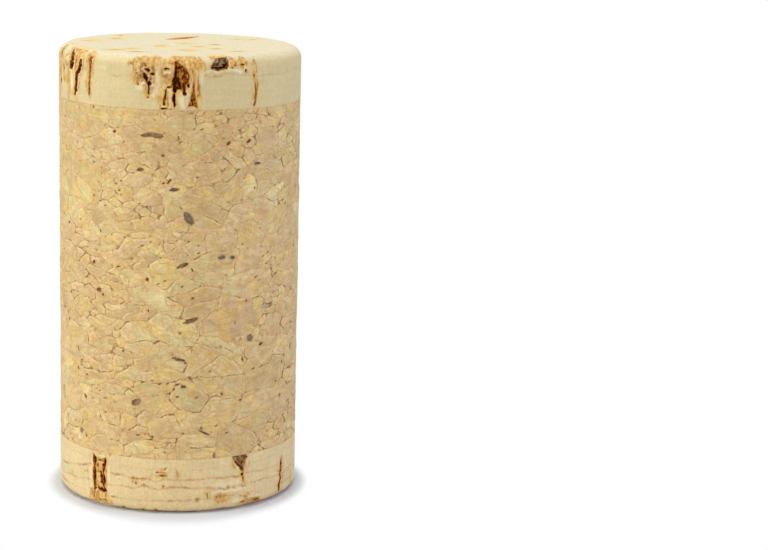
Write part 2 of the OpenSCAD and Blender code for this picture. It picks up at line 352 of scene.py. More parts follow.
class Piece:
    """A mesh in the making: vertices in mm, triangles and named fields on them. A vertex has
    numbers, and a triangle or its corner has vectors."""

    def __init__(self):
        self.co, self.tris = np.zeros((0, 3)), np.zeros((0, 3), int)
        self.point, self.face, self.corner = {}, {}, {}

    def add(self, co, tris, point, face, corner):
        """Adds a patch with its fields: per vertex, per triangle and per triangle corner."""
        for mine, more in ((self.point, point), (self.face, face), (self.corner, corner)):
            for name, values in more.items():
                mine[name] = np.concatenate((mine[name], values)) if name in mine else values
        self.tris = np.vstack((self.tris, tris + len(self.co)))
        self.co = np.vstack((self.co, co))

    def join(self):
        """Welds the patches into one skin."""
        first, tris, whole = weld(self.co, self.tris)
        self.co = self.co[first]
        self.point = {k: v[first] for k, v in self.point.items()}
        self.tris = tris[whole]
        self.face = {k: v[whole] for k, v in self.face.items()}
        self.corner = {k: v[whole] for k, v in self.corner.items()}

    def cap(self, z):
        """Closes the open edge at about height z with a fan of triangles."""
        edges = open_edges(self.tris)
        edges = edges[np.abs(self.co[edges[:, 0], 2] - z) < 0.5]
        middle = len(self.co)
        fan = np.column_stack((edges[:, 1], edges[:, 0], np.full(len(edges), middle)))
        self.co = np.vstack((self.co, [[0, 0, z]]))
        self.tris = np.vstack((self.tris, fan))
        for fields, rows in ((self.point, 1), (self.face, len(fan)), (self.corner, len(fan))):
            for name, values in fields.items():
                fields[name] = np.concatenate((values, np.repeat(values[:1], rows, axis=0)))

    def finish(self, name, node, slot, material):
        """Makes the Blender object and puts it in place of its CAD node."""
        mesh = bpy.data.meshes.new(name)
        mesh.from_pydata((self.co * MM).tolist(), [], self.tris.tolist())
        for domain, fields, kind, key in (("POINT", self.point, "FLOAT", "value"),
                                          ("FACE", self.face, "FLOAT_VECTOR", "vector"),
                                          ("CORNER", self.corner, "FLOAT_VECTOR", "vector")):
            for field, values in fields.items():
                made = mesh.attributes.new(field, kind, domain)
                made.data.foreach_set(key, values.astype(np.float32).ravel())
        mesh.shade_smooth()
        mesh.set_sharp_from_angle(angle=SHARP)
        mesh.materials.append(material)
        piece = bpy.data.objects.new(name, mesh)
        bpy.context.scene.collection.objects.link(piece)
        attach(piece, "root")
        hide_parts(node)


# ---------------------------------------------------------------- granules

# How much the granules lie flat: the wall is stretched up by this before they are laid out.
FLATNESS = 1.7
# How many steps the way back from the layout to the wall takes.
PLAN_TRIES = 14
# Margin of granules past each end of the body, which the discs cut off.
SPARE = 2.5
# How many cells of each size are tried, by their radius in mm.
CELL_SIZES = ((46, 1.4, 1.9), (330, 0.7, 1.1), (1500, 0.34, 0.6))
# Crumbs lie together where this noise is high: its size in mm and its least value.
CRUMB_PATCH = 5.5
CRUMB_LEAST = -0.05
# The largest crumb and the largest cell that is joined to more than one other.
CRUMB = 0.5
LARGE = 1.2
# How often a place is tried for each cell, and how much room it needs, as a share of its
# radius and its neighbour's.
CELL_TRIES = 30
CELL_ROOM = 0.8
# How much a large cell pushes its small neighbours back, as a share of its full weight.
CELL_PUSH = 0.7
# How far past each end of the unrolled wall the cells of the back are repeated, and how far
# a cell can reach from its centre, in mm. How many neighbours can bound it.
BACK_MARGIN = 8
CELL_REACH = 7.0
NEIGHBOURS = 32
# How many cells a granule is joined from, picked evenly, and how long such a clump is.
CLUMP_SIZES = (1, 1, 1, 2, 2, 3, 3, 4, 5)
CLUMP_STRETCH = 1.9
# Granules that stand out on the front: turn, height, radius and colour number.
LANDMARKS = (
    (46, 35.8, 1.9, 3), (0, 37.8, 1.5, 2), (-14.6, 30.6, 1.5, 2), (9.6, 31.0, 1.7, 2),
    (-12.4, 37.7, 1.3, 1), (-17.6, 6.7, 1.0, 0), (33.6, 6.6, 1.6, 2), (12, 33.2, 1.3, 2),
    (17, 26.6, 1.3, 0), (6, 21.2, 1.4, 2), (38, 18.8, 1.3, 3), (50, 28.0, 1.4, 3),
)


def wander(uv):
    """How far the layout of the granules is pushed about, so that seams aren't straight."""
    p = on_wall(uv)
    push = [0.45 * noise(p, 2.7, k) + 0.23 * noise(p, 1.1, k + 1) + 0.08 * noise(p, 0.42, k + 2)
            for k in (11, 21)]
    return np.column_stack(push)


def to_plan(uv):
    """Where places on the wall lie on the plan that the granules are laid out on."""
    return (uv + wander(uv)) * (1, FLATNESS)


def from_plan(plan):
    """Where places on the plan lie on the wall, found step by step."""
    goal = plan / (1, FLATNESS)
    uv = goal
    for _ in range(PLAN_TRIES):
        uv = goal - wander(uv)
    return uv


class Granules:
    """The layout of granules on the unrolled wall: cells round centres of unequal weight."""

    def __init__(self, seed):
        draw = np.random.default_rng(seed)
        lo = (BODY_FOOT - SPARE) * FLATNESS
        hi = (BODY_TOP + SPARE) * FLATNESS
        placed = np.array([(arc(turn), z * FLATNESS, radius) for turn, z, radius, _ in LANDMARKS])
        for count, small, large in CELL_SIZES:
            for radius in np.sort(draw.uniform(small, large, count))[::-1]:
                for _ in range(CELL_TRIES):
                    x, y = draw.uniform(-HALF_GIRTH, HALF_GIRTH), draw.uniform(lo, hi)
                    crumbs = noise(on_wall(np.array([(x, y / FLATNESS)])), CRUMB_PATCH, 9)[0] > CRUMB_LEAST
                    if crumbs != (small < CRUMB) and small != CELL_SIZES[1][1]:
                        continue
                    dx = np.abs(placed[:, 0] - x)
                    gap = np.hypot(np.minimum(dx, GIRTH - dx), placed[:, 1] - y)
                    if (gap > CELL_ROOM * (placed[:, 2] + radius)).all():
                        placed = np.vstack((placed, (x, y, radius)))
                        break
        count = len(placed)
        west, east = placed[:, 0] < BACK_MARGIN - HALF_GIRTH, placed[:, 0] > HALF_GIRTH - BACK_MARGIN
        copies = (placed, placed[west] + (GIRTH, 0, 0), placed[east] - (GIRTH, 0, 0))
        owner = np.arange(count)
        self.owner = np.concatenate((owner, owner[west], owner[east]))
        self.count = count
        self.centre = np.vstack(copies)[:, :2]
        self.weight = CELL_PUSH * np.vstack(copies)[:, 2] ** 2
        spread = self.centre[:, None] - self.centre[None]
        self.apart = np.maximum(np.hypot(spread[..., 0], spread[..., 1]), 1e-6)
        self.cells = [self.cell(i) for i in range(len(self.centre))]
        self.group = self.clumps(draw)[self.owner]

    def clumps(self, draw):
        """The granule that each cell belongs to. Cells next to each other are joined in
        clumps, which makes bent, hooked and drawn-out outlines."""
        group = np.arange(self.count)
        free = np.ones(self.count, bool)
        free[:len(LANDMARKS)] = False
        for i in draw.permutation(self.count):
            size = CLUMP_SIZES[draw.integers(len(CLUMP_SIZES))]
            if not CRUMB ** 2 < self.weight[i] / CELL_PUSH < LARGE ** 2:
                size = min(size, 2)
            lean = draw.normal(0, 0.5)
            if not free[i]:
                continue
            free[i] = False
            members = [i]
            while len(members) < size:
                beside = {int(self.owner[side]) for m in members for _, _, side in self.cells[m] if side >= 0}
                beside = [j for j in sorted(beside) if free[j]]
                if not beside:
                    break
                gap = self.centre[beside] - self.centre[i]
                gap[:, 0] -= GIRTH * np.round(gap[:, 0] / GIRTH)
                along = gap[:, 0] * math.cos(lean) + gap[:, 1] * math.sin(lean)
                across = gap[:, 1] * math.cos(lean) - gap[:, 0] * math.sin(lean)
                j = beside[int(np.argmin(np.hypot(along / CLUMP_STRETCH, across)))]
                members.append(j)
                group[j] = i
                free[j] = False
        return group

    def cell(self, i):
        """The corners of one cell, with the neighbour across each side that starts there."""
        x, y = self.centre[i]
        corners = [(x + a * CELL_REACH, y + b * CELL_REACH, -1) for a, b in SQUARE]
        for j in np.argsort(self.apart[i] - np.sqrt(self.weight))[:NEIGHBOURS]:
            if j == i:
                continue
            nx, ny = 2 * (self.centre[j] - self.centre[i])
            limit = (self.centre[j] @ self.centre[j] - self.weight[j]
                     - self.centre[i] @ self.centre[i] + self.weight[i])
            cut = []
            for k, (ax, ay, side) in enumerate(corners):
                bx, by, _ = corners[(k + 1) % len(corners)]
                a, b = nx * ax + ny * ay - limit, nx * bx + ny * by - limit
                if a <= 0:
                    cut.append((ax, ay, side))
                if (a < 0) != (b < 0) and a != b:
                    t = a / (a - b)
                    cut.append((ax + (bx - ax) * t, ay + (by - ay) * t, side if a > 0 else int(j)))
            corners = cut
            if not corners:
                break
        return corners

    def seams(self):
        """Lines along every seam between two granules, and points a little to each side."""
        lines, beside = [], []
        for i in range(len(self.centre)):
            corners = self.cells[i]
            for k, (ax, ay, j) in enumerate(corners):
                bx, by, _ = corners[(k + 1) % len(corners)]
                if j <= i or self.group[i] == self.group[j]:
                    continue
                ends = np.array([(ax, ay), (bx, by)])
                if (np.abs(ends[:, 0]) > HALF_GIRTH + 1).all():
                    continue
                length = np.hypot(*(ends[1] - ends[0]))
                if length < 1e-3:
                    continue
                count = max(1, round(length / SEAM_STEP))
                t = np.arange(count + 1)[:, None] / count
                lines.append(ends[0] + (ends[1] - ends[0]) * t)
                across = np.array((ay - by, bx - ax)) / length
                middle = ends[0] + (ends[1] - ends[0]) * (t[:-1] + 0.5 / count)
                beside += [middle + across * SEAM_SIDE, middle - across * SEAM_SIDE]
        return lines, np.vstack(beside)

    def fields(self, plan):
        """For each point: its granule, the distance to the nearest seam and that seam's
        number, and the distance to the next nearest seam."""
        near_seam = np.zeros(len(plan))
        second = np.zeros(len(plan))
        mine = np.zeros(len(plan), int)
        across = np.zeros(len(plan), int)
        order = np.argsort(plan[:, 0])
        for part in np.array_split(order, max(1, len(plan) // 1500)):
            q = plan[part]
            close = (self.centre[:, 0] > q[:, 0].min() - 5) & (self.centre[:, 0] < q[:, 0].max() + 5)
            close = np.where(close)[0]
            group = self.group[close]
            power = ((q[:, None] - self.centre[None, close]) ** 2).sum(2) - self.weight[close]
            rows = np.arange(len(q))
            i = power.argmin(1)
            gap = (power - power[rows, i][:, None]) / (2 * self.apart[np.ix_(close, close)][i])
            gap[group[None] == group[i][:, None]] = 1e9
            j = gap.argmin(1)
            near_seam[part] = gap[rows, j]
            gap[group[None] == group[j][:, None]] = 1e9
            second[part] = gap.min(1)
            mine[part], across[part] = group[i], group[j]
        return mine, near_seam, across, second


# How far apart the mesh's points are along a seam and in a granule, how far from a seam a
# row of points runs along each side of it, and how far other points keep from it, in mm.
SEAM_STEP = 0.25
GRANULE_STEP = 0.36
SEAM_SIDE = 0.09
SIDE_CLEAR = 0.075
SEAM_CLEAR = 0.22
# Half width of a seam's dark line in mm, how much it widens where seams meet, and over
# what distance.
SEAM_LINE = 0.045
SEAM_SPREAD = 0.1
SEAM_REACH = 0.4
# How bold the seams are at each height: they fade towards the top.
SEAM_BOLD = ((7, 15, 24, 38), (1.3, 1.25, 1.0, 0.85))
# Half width of the glue lines, and how many half widths away a line is of no more account.
GLUE_LINE = 0.07
SEAM_FAR = 6
# How much higher a granule is than its edge, and how wide that edge is, in mm.
CROWN = 0.02
CROWN_EDGE = 0.3
# How much paler the granules are by the lower glue line, and over what distance in mm.
FOOT_PALE = 0.15
FOOT_REACH = 1.4
# Gaps between granules on the front: turn, height, width and height, then tilt, greyness,
# darkness and depth, where they aren't what open_gap() says.
FRONT_GAPS = (
    (-15.4, 36.55, 1.2, 0.34, 4, 0, 0.74, 0.24), (-10.2, 36.52, 1.2, 0.5, -6, 0.15, 0.66, 0.24),
    (-12.6, 36.62, 1.4, 0.5, 0, 0.7, 0.62, 0.2), (4.2, 28.8, 0.76, 1.5, 36, 1, 0.72),
    (-2.7, 31.5, 1, 0.4, 5, 0.8), (-4.9, 32.3, 0.6, 0.25, 50), (1.6, 24.3, 1.3, 0.4, 20, 0.5),
    (5.5, 19.0, 1.5, 0.45, 18, 0.5), (19.9, 25.0, 0.8, 0.4, 5, 1, 0.75),
    (25.4, 24.9, 0.6, 0.35, -10, 1, 0.75), (-20.1, 10.9, 1.1, 0.65, 25, 0.7, 0.6),
    (0.5, 15.2, 1.2, 0.3, -12, 0.7), (-31.5, 36.7, 0.34, 0.34), (33.2, 35.9, 0.6, 0.34, 35),
    (22.7, 35.8, 0.55, 0.3, 40), (38.6, 33.7, 0.8, 0.28, 0, 1), (-18.4, 33.3, 0.7, 0.35, 8, 0.8),
    (-43.4, 24.0, 0.4, 0.34, 40), (-40.5, 21.4, 0.6, 0.4, 10, 0.3), (-14.9, 22.9, 0.36, 0.36),
    (35.2, 16.9, 0.7, 0.75, 60, 1, 0.65), (42.0, 16.1, 0.5, 0.3, 20), (-49.9, 10.6, 0.5, 0.3, -50, 0.4),
    (12.0, 8.0, 1.2, 0.22, -28, 1), (57.2, 10.4, 0.4, 0.3, 50, 0.4), (67.7, 14.9, 0.6, 0.3, 70),
    (-72.5, 10.0, 0.9, 1.6, 0, 1, 0.4, 0.12), (2.2, 12.6, 0.55, 0.3, 0, 0.8),
    (-53.0, 7.0, 0.6, 0.5, 20, 0.8, 0.55),
)
# Specks between granules on the front: turn, height, width and height. They are drawn at a
# share of that size.
SPECK_SIZE = 0.85
SMALL_GAPS = (
    (-43.9, 38.8, 0.34, 0.3), (-55.5, 35.2, 0.26, 0.2), (-7.7, 34.7, 0.4, 0.34), (9.8, 37.2, 0.4, 0.16),
    (37.0, 31.4, 0.3, 0.3), (-43.4, 33.6, 0.26, 0.24), (-29.0, 31.2, 0.4, 0.2), (-43.6, 30.4, 0.24, 0.3),
    (73.2, 30.7, 0.3, 0.5), (8.0, 32.7, 0.34, 0.2), (50.3, 34.0, 0.3, 0.2), (54.0, 29.5, 0.5, 0.2),
    (1.3, 22.3, 0.3, 0.26), (6.3, 21.2, 0.36, 0.24), (-37.8, 21.0, 0.3, 0.3), (0.5, 17.8, 0.3, 0.3),
    (-2.2, 15.4, 0.6, 0.2), (3.0, 14.9, 0.4, 0.26), (-26.7, 15.8, 0.3, 0.22), (58.6, 13.7, 0.3, 0.4),
    (-55.6, 13.2, 0.3, 0.46), (-37.0, 10.9, 0.4, 0.16), (-58.5, 7.8, 0.26, 0.3), (-49.2, 6.7, 0.34, 0.36),
    (-19.0, 7.7, 0.5, 0.2), (2.2, 8.0, 0.36, 0.3), (-12.2, 7.6, 0.2, 0.4), (20.5, 11.7, 0.36, 0.4),
    (30.5, 10.9, 0.5, 0.24), (53.4, 12.0, 0.3, 0.3), (10.8, 8.4, 0.3, 0.4), (-5.0, 12.9, 0.4, 0.2),
    (-9.0, 12.8, 0.36, 0.2), (-0.5, 11.6, 0.4, 0.24), (14.5, 14.0, 0.4, 0.16), (-33.5, 15.6, 0.2, 0.2),
    (-0.7, 36.4, 0.14, 0.6), (0.3, 36.0, 0.6, 0.14), (-7.5, 32.1, 0.3, 0.2), (-39.3, 30.0, 0.5, 0.14),
    (-36.5, 29.6, 0.4, 0.16), (-18.5, 30.1, 0.4, 0.12), (-15.2, 29.8, 0.4, 0.12), (-30.6, 31.8, 0.3, 0.2),
    (-27.8, 32.1, 0.2, 0.3), (57.2, 29.8, 0.4, 0.2), (59.6, 29.4, 0.3, 0.24), (-64.0, 27.2, 0.5, 0.3),
    (-53.8, 27.8, 0.24, 0.24), (-32.8, 26.9, 0.26, 0.2), (-26.1, 26.8, 0.26, 0.16), (-39.3, 27.1, 0.2, 0.4),
    (-17.4, 26.1, 0.5, 0.18), (-13.2, 26.5, 0.3, 0.18), (4.1, 26.6, 0.4, 0.2), (8.7, 26.2, 0.24, 0.2),
    (30.6, 26.1, 0.3, 0.2), (8.8, 25.5, 0.3, 0.24), (45.8, 25.0, 0.5, 0.18), (42.5, 24.7, 0.4, 0.16),
    (-43.3, 23.9, 0.3, 0.24), (-29.4, 23.9, 0.5, 0.18), (5.9, 23.9, 0.2, 0.5), (51.7, 22.7, 0.6, 0.2),
    (48.7, 23.3, 0.3, 0.3), (38.6, 22.8, 0.7, 0.2), (-9.6, 22.5, 0.5, 0.16), (-6.7, 22.8, 0.4, 0.14),
    (18.8, 38.7, 0.3, 0.14), (29.1, 36.3, 0.4, 0.14), (-55.4, 15.2, 0.24, 0.7), (-52.6, 14.1, 0.4, 0.3),
    (-48.7, 12.8, 0.3, 0.3), (66.4, 8.8, 0.3, 0.5), (62.0, 7.5, 0.3, 0.4), (37.8, 13.8, 0.6, 0.2),
    (31.2, 14.9, 0.3, 0.6), (-3.0, 15.7, 0.4, 0.14), (-0.7, 12.8, 0.7, 0.24), (-12.4, 13.1, 0.5, 0.16),
    (-17.2, 12.9, 0.4, 0.16), (63.2, 17.3, 0.3, 0.2), (68.1, 16.8, 0.4, 0.24), (26.9, 18.5, 0.14, 0.5),
    (32.9, 20.6, 0.3, 0.3), (43.7, 20.3, 0.5, 0.14), (-14.3, 19.9, 0.2, 0.3), (-39.5, 9.0, 0.2, 0.5),
    (-36.4, 9.5, 0.5, 0.14), (17.9, 8.6, 0.5, 0.18), (23.0, 7.8, 0.5, 0.18), (8.1, 11.5, 0.5, 0.16),
    (-2.4, 12.3, 0.3, 0.2), (-4.1, 11.9, 0.24, 0.3), (-66.9, 8.0, 0.3, 0.5), (-40.2, 11.5, 0.3, 0.16),
)
# Gaps on the rest of the wall: how many, from which turn, and over how many degrees.
BACK_GAPS = 46
BACK_FROM = 82
BACK_SPAN = 196
# What multiples of these leave over is spread evenly from 0 to 1, each in its own order.
SPREADERS = (0.618, 0.414, 0.732)

# Cork turns redder as it darkens: how fast its red, green and blue fall.
DARKENING = (0.7, 1.0, 1.22)
# Colours that a granule can have, from 0 to 255, and how often each comes.
GRANULE_COLOURS = (
    ((208, 181, 127), 0.36),
    ((211, 184, 124), 0.2),
    ((203, 175, 121), 0.18),
    ((206, 177, 127), 0.06),
    ((201, 177, 127), 0.06),
    ((213, 189, 136), 0.1),
    ((211, 181, 118), 0.04),
)


def linear(colour):
    """Shader values of a colour from 0 to 255."""
    share = np.asarray(colour, float) / 255
    return np.where(share <= 0.04045, share / 12.92, ((share + 0.055) / 1.055) ** 2.4)


def open_gap(seed, turn, z, width, height, tilt=0, grey=0, dark=0.8, depth=0.26):
    """A gap between granules on the front."""
    outline = blob(width, height, tilt, seed, rough=0.12)
    return Opening(at(turn, z, outline), depth, dark, bevel=0.06, stain=0, grey=grey)


def body_openings():
    """The gaps between granules, those of the front and those spread over the rest."""
    gaps = [open_gap(300 + n, *row) for n, row in enumerate(FRONT_GAPS)]
    for n, (turn, z, width, height) in enumerate(SMALL_GAPS):
        outline = blob(SPECK_SIZE * width, SPECK_SIZE * height, 20, 400 + n)
        gaps.append(Opening(at(turn, z, outline), 0.22, 0.66, bevel=0.05, stain=0, grey=0.4 * (n % 2)))
    for n in range(BACK_GAPS):
        around, share, thick = (n * step % 1 for step in SPREADERS)
        turn = BACK_FROM + BACK_SPAN * around
        z = BODY_FOOT + 1 + (BODY_TOP - BODY_FOOT - 2) * (n + 0.5) / BACK_GAPS
        outline = at(turn, z, blob(0.4 + 1.1 * share, 0.3 + 0.3 * thick, 60 * share - 30, 500 + n))
        gaps.append(Opening(outline, 0.5, 0.9 - 0.3 * share, bevel=0.06, stain=0, grey=n % 3 / 2))
    return all_round(gaps)


def granule_fields(granules, mine):
    """Each granule's colour, its height and the turn of its growth lines."""
    ids = np.arange(granules.count)
    pick = shares(ids, 5)
    bounds = np.cumsum([odds for _, odds in GRANULE_COLOURS])
    kinds = np.minimum(np.searchsorted(bounds, pick), len(bounds) - 1)
    kinds[:len(LANDMARKS)] = [mark[3] for mark in LANDMARKS]
    colours = linear([colour for colour, _ in GRANULE_COLOURS])[kinds]
    bright = 0.845 + 0.26 * shares(ids, 6)
    colours = colours * np.stack([bright ** power for power in DARKENING], axis=1)
    colours = colours * (1 + (shares(ids, 9) - 0.5)[:, None] * (0.05, -0.03, 0.14))
    rise = 0.09 * shares(ids, 7) - 0.09
    turn = math.radians(90) * (shares(ids, 8) - 0.5)
    return colours[mine], rise[mine], turn[mine]


def inside_ends(uv):
    """Distance from the nearer end of the body."""
    return np.minimum(uv[:, 1] - BODY_FOOT, BODY_TOP - uv[:, 1])


def inside_body(uv):
    """Distance from the border of the body's unrolled wall."""
    return np.minimum(HALF_GIRTH - np.abs(uv[:, 0]), inside_ends(uv))


def body_mesh(granules, openings):
    """The unrolled wall of the body, as points and triangles."""
    lines, beside = granules.seams()
    ends = np.cumsum([len(line) for line in lines])[:-1]
    lines = np.split(from_plan(np.vstack(lines)), ends)
    plain = hex_points(-HALF_GIRTH, HALF_GIRTH, BODY_FOOT, BODY_TOP, GRANULE_STEP, 5)
    plain = plain[granules.fields(to_plan(plain))[1] > SEAM_CLEAR]
    beside = from_plan(beside[granules.fields(beside)[1] > SIDE_CLEAR])
    lines = [line for line in lines if (inside_body(line) > -1).any()]
    border = wall_border(BODY_FOOT, BODY_TOP)
    return triangulate(border, inside_body, np.vstack((plain, beside)), lines, openings)


def make_body(material):
    """The body: its wall is the surface of its granules, and its ends are plain."""
    granules = Granules(seed=3)
    openings = body_openings()
    uv, tris = body_mesh(granules, openings)

    # Each seam is as bold as its two granules and the place make it, and is sunk as a groove.
    p = on_wall(uv)
    mine, gap, across, second = granules.fields(to_plan(uv))
    pair = shares(np.minimum(mine, across), np.maximum(mine, across), 3)
    corner = np.exp(-second / SEAM_REACH)
    strength = 0.2 + 0.3 * pair + 0.6 * pair ** 2 * corner
    strength = strength * (0.7 + 0.8 * noise(p, 0.9, 61) + 0.3 * noise(p, 5.0, 62))
    strength = np.clip(strength * np.interp(uv[:, 1], *SEAM_BOLD), 0, 1)
    half = SEAM_LINE + SEAM_SPREAD * strength * corner
    groove = (0.03 + 0.10 * strength) * np.exp(-(gap / (1.3 * half)) ** 2)
    _, rise, _ = granule_fields(granules, mine)
    crown = smooth(gap / CROWN_EDGE)
    lumps = 0.015 * noise(p, 0.9, 71), 0.01 * noise(p, 0.35, 72)
    down = groove - rise * crown - CROWN * crown + CROWN + lumps[0] + lumps[1]
    fields = opening_fields(uv, openings)
    level = np.maximum(fields.pop("depth"), np.clip(down, 0, 0.3))
    co = on_wall(uv, level)

    # The seam's line: how many half widths off it each point is, and how strong it is.
    # The glue line at each end is drawn the same way.
    off = gap / half
    glue_off = inside_ends(uv) / GLUE_LINE
    glue = smooth(0.4 + 1.1 * noise(p, 1.3, 63)) * np.where(uv[:, 1] > CORK_H / 2, 0.3, 0.08)
    fields["strength"] = np.where(glue_off < off, glue, strength)
    fields["off"] = np.minimum(np.minimum(off, glue_off), SEAM_FAR)

    # Growth lines run their own way in each granule.
    owner = granules.fields(to_plan(uv[tris].mean(1)))[0]
    colours, _, lean = granule_fields(granules, owner)
    above = uv[tris].mean(1)[:, 1] - BODY_FOOT
    colours = colours * (1 + FOOT_PALE * np.exp(-above / FOOT_REACH))[:, None]
    corners = uv[tris]
    cos, sin = np.cos(lean)[:, None], np.sin(lean)[:, None]
    grain = np.stack((corners[..., 0] * cos + corners[..., 1] * sin,
                      corners[..., 1] * cos - corners[..., 0] * sin,
                      np.repeat(owner[:, None] * 3.7, 3, axis=1)), axis=2)

    piece = Piece()
    piece.add(co, tris, fields, {"colour": colours}, {"grain": grain})
    piece.join()
    piece.cap(BODY_TOP)
    piece.cap(BODY_FOOT)
    piece.finish("granule_body", "agglomerated_body", "agglomerated_cork", material)


# ---------------------------------------------------------------- discs

# How far the wall's patch of mesh runs onto the end face, in mm.
FACE_EDGE = 0.4
# How far apart the mesh's points are on a disc's wall and on its free face, in mm.
DISC_STEP = 0.125
FACE_STEP = 0.25
# How much less than its radius the face's patch reaches between the points of its edge, and
# how far inside that its own points start, in mm.
RIM_SAG = 0.03
RIM_CLEAR = 0.1


class Skin:
    """How a disc's unrolled outline lies in space: up the wall from the glue line, round
    the rim and a little way onto the free face. v is the distance along it, in mm."""

    def __init__(self, glue_z, face_z, rim):
        self.glue_z, self.face_z, self.rim = glue_z, face_z, rim
        self.side = 1 if face_z > glue_z else -1
        self.straight = abs(face_z - glue_z) - rim
        self.arc = rim * math.pi / 2
        self.length = self.straight + self.arc + FACE_EDGE
        self.face_r = CORK_R - rim - FACE_EDGE

    def along(self, z):
        """The v of a height on the wall or the rim."""
        up = self.side * (np.asarray(z, float) - self.glue_z)
        bend = np.clip((up - self.straight) / self.rim, 0, 1)
        return np.minimum(up, self.straight) + self.rim * np.arcsin(bend)

    def height(self, v):
        """The height on the wall or the rim of a v."""
        bend = np.clip((v - self.straight) / self.rim, 0, math.pi / 2)
        return self.glue_z + self.side * (np.minimum(v, self.straight) + self.rim * np.sin(bend))

    def lift(self, uv, down):
        """Points in space of places on the skin, each sunk by its depth."""
        turn = uv[:, 0] / CORK_R
        bend = np.clip((uv[:, 1] - self.straight) / self.rim, 0, math.pi / 2)
        over = np.maximum(uv[:, 1] - self.straight - self.arc, 0)
        r = CORK_R - self.rim + (self.rim - down) * np.cos(bend) - over
        up = np.minimum(uv[:, 1], self.straight) + (self.rim - down) * np.sin(bend)
        z = self.glue_z + self.side * up
        return np.column_stack((r * np.sin(turn), -r * np.cos(turn), z))

    def place(self, turn, z, outline):
        """An outline drawn round a place on the wall, given by its turn and height."""
        heights = self.along(z + outline[:, 1])
        return np.column_stack((outline[:, 0] + arc(turn), heights))

    def path(self, places):
        """A crack's outline along (turn, height, width) places."""
        spine = [(arc(turn), z, width) for turn, z, width in places]
        outline = crack(spine, int(abs(places[0][0]) * 100))
        return np.column_stack((outline[:, 0], self.along(outline[:, 1])))


def line_fields(uv, skin, lines):
    """How strongly each point lies on a line that runs round the wall. A line is its
    strength, its half width and the (turn, height) places it runs through."""
    turn = np.degrees(uv[:, 0] / CORK_R)
    # Both borders of the unrolled wall are one place, at the back.
    turn = np.where(turn > 179.999, -180, turn)
    z = skin.height(uv[:, 1])
    p = on_wall(uv) * (1, 1, 0)
    total = np.zeros(len(uv))
    for n, (strong, half, places) in enumerate(lines):
        level = np.interp(turn, *zip(*places))
        level = level + 0.07 * noise(p, 1.1, 90 + n) + 0.07 * noise(p, 0.4, 85 + n)
        width = half * (1 + 0.6 * noise(p, 1.0, 95 + n))
        ends = smooth((turn - places[0][0]) / 2 + 1) * smooth((places[-1][0] - turn) / 2 + 1)
        amount = strong * ends * (0.8 + 0.6 * noise(p, 1.8, 100 + n))
        total = np.maximum(total, amount * np.exp(-((z - level) / width) ** 2))
    return np.clip(total, 0, 1)


def patches(p, x, y, spots):
    """Soft-edged patches on a wall or face: (x, y, width, height, amount) each, in mm,
    broken up by streaks that run along the cork."""
    total = np.zeros(len(x))
    ragged = 1 + 0.45 * noise(p * (1, 1, 0.3), 0.3, 110) + 0.3 * noise(p, 1.0, 111)
    for at_x, at_y, wide, high, amount in spots:
        reach = np.hypot((x - at_x) / (wide / 2), (y - at_y) / (high / 2)) * ragged
        total = np.maximum(total, amount * smooth(2.1 - 1.6 * reach))
    return total


def wall_patches(uv, skin, spots):
    """Patches on a disc's wall, each placed by its turn and height."""
    spots = [(arc(turn), *rest) for turn, *rest in spots]
    return patches(on_wall(uv), uv[:, 0], skin.height(uv[:, 1]), spots)


def lens(length, width, tilt, x, y):
    """A pointed oval on an end face, its length at an angle from +X."""
    t = np.linspace(0, 2 * math.pi, 14, endpoint=False)
    along, across = length / 2 * np.cos(t), width / 2 * np.sin(t) * np.abs(np.sin(t))
    return (x, y) + turned(along, across, tilt)


@dataclass
class Looks:
    """What shows on one disc: the openings, growth lines, patches of ochre and rough cork,
    painted highlights in lines and patches on its wall, the pores and the stains on its free
    face, and how dark its glue line is. On the lower disc the last of its lines is painted shade."""

    openings: list
    lines: tuple
    pale_lines: tuple
    ochre: tuple
    rough: tuple
    pale: tuple
    pores: list
    face_ochre: tuple
    glue: float


def pit(skin, seed, turn, z, width, height, depth, dark, tilt=0):
    """A small opening on a disc's wall."""
    outline = blob(width, height, tilt, seed)
    return Opening(skin.place(turn, z, outline), depth, dark, bevel=0.06, stain=0.14)


def wall_openings(skin, shapes, cracks, pits):
    """A disc's openings, from rows that place them by turn and height.

    shapes: depth, darkness, lumpiness, greyness and (turn, height) corners;
    cracks: depth, darkness and (turn, height, width) along them;
    pits: turn, height, width, height, depth and darkness, and a tilt where they have one.
    """
    out = []
    for depth, dark, lumpy, grey, corners in shapes:
        outline = np.array([(arc(turn), skin.along(z)) for turn, z in corners])
        out.append(Opening(outline, depth, dark, bevel=0.09, stain=0.22, lumpy=lumpy, grey=grey))
    for depth, dark, places in cracks:
        out.append(Opening(skin.path(places), depth, dark, bevel=0.05, stain=0.3))
    out += [pit(skin, n, *row) for n, row in enumerate(pits)]
    return all_round(out)


def face_openings(pores):
    """A free face's openings, from rows of length, width, tilt, place, depth and darkness."""
    return [Opening(lens(*shape), depth, dark, bevel=0.1, stain=0.35) for *shape, depth, dark in pores]


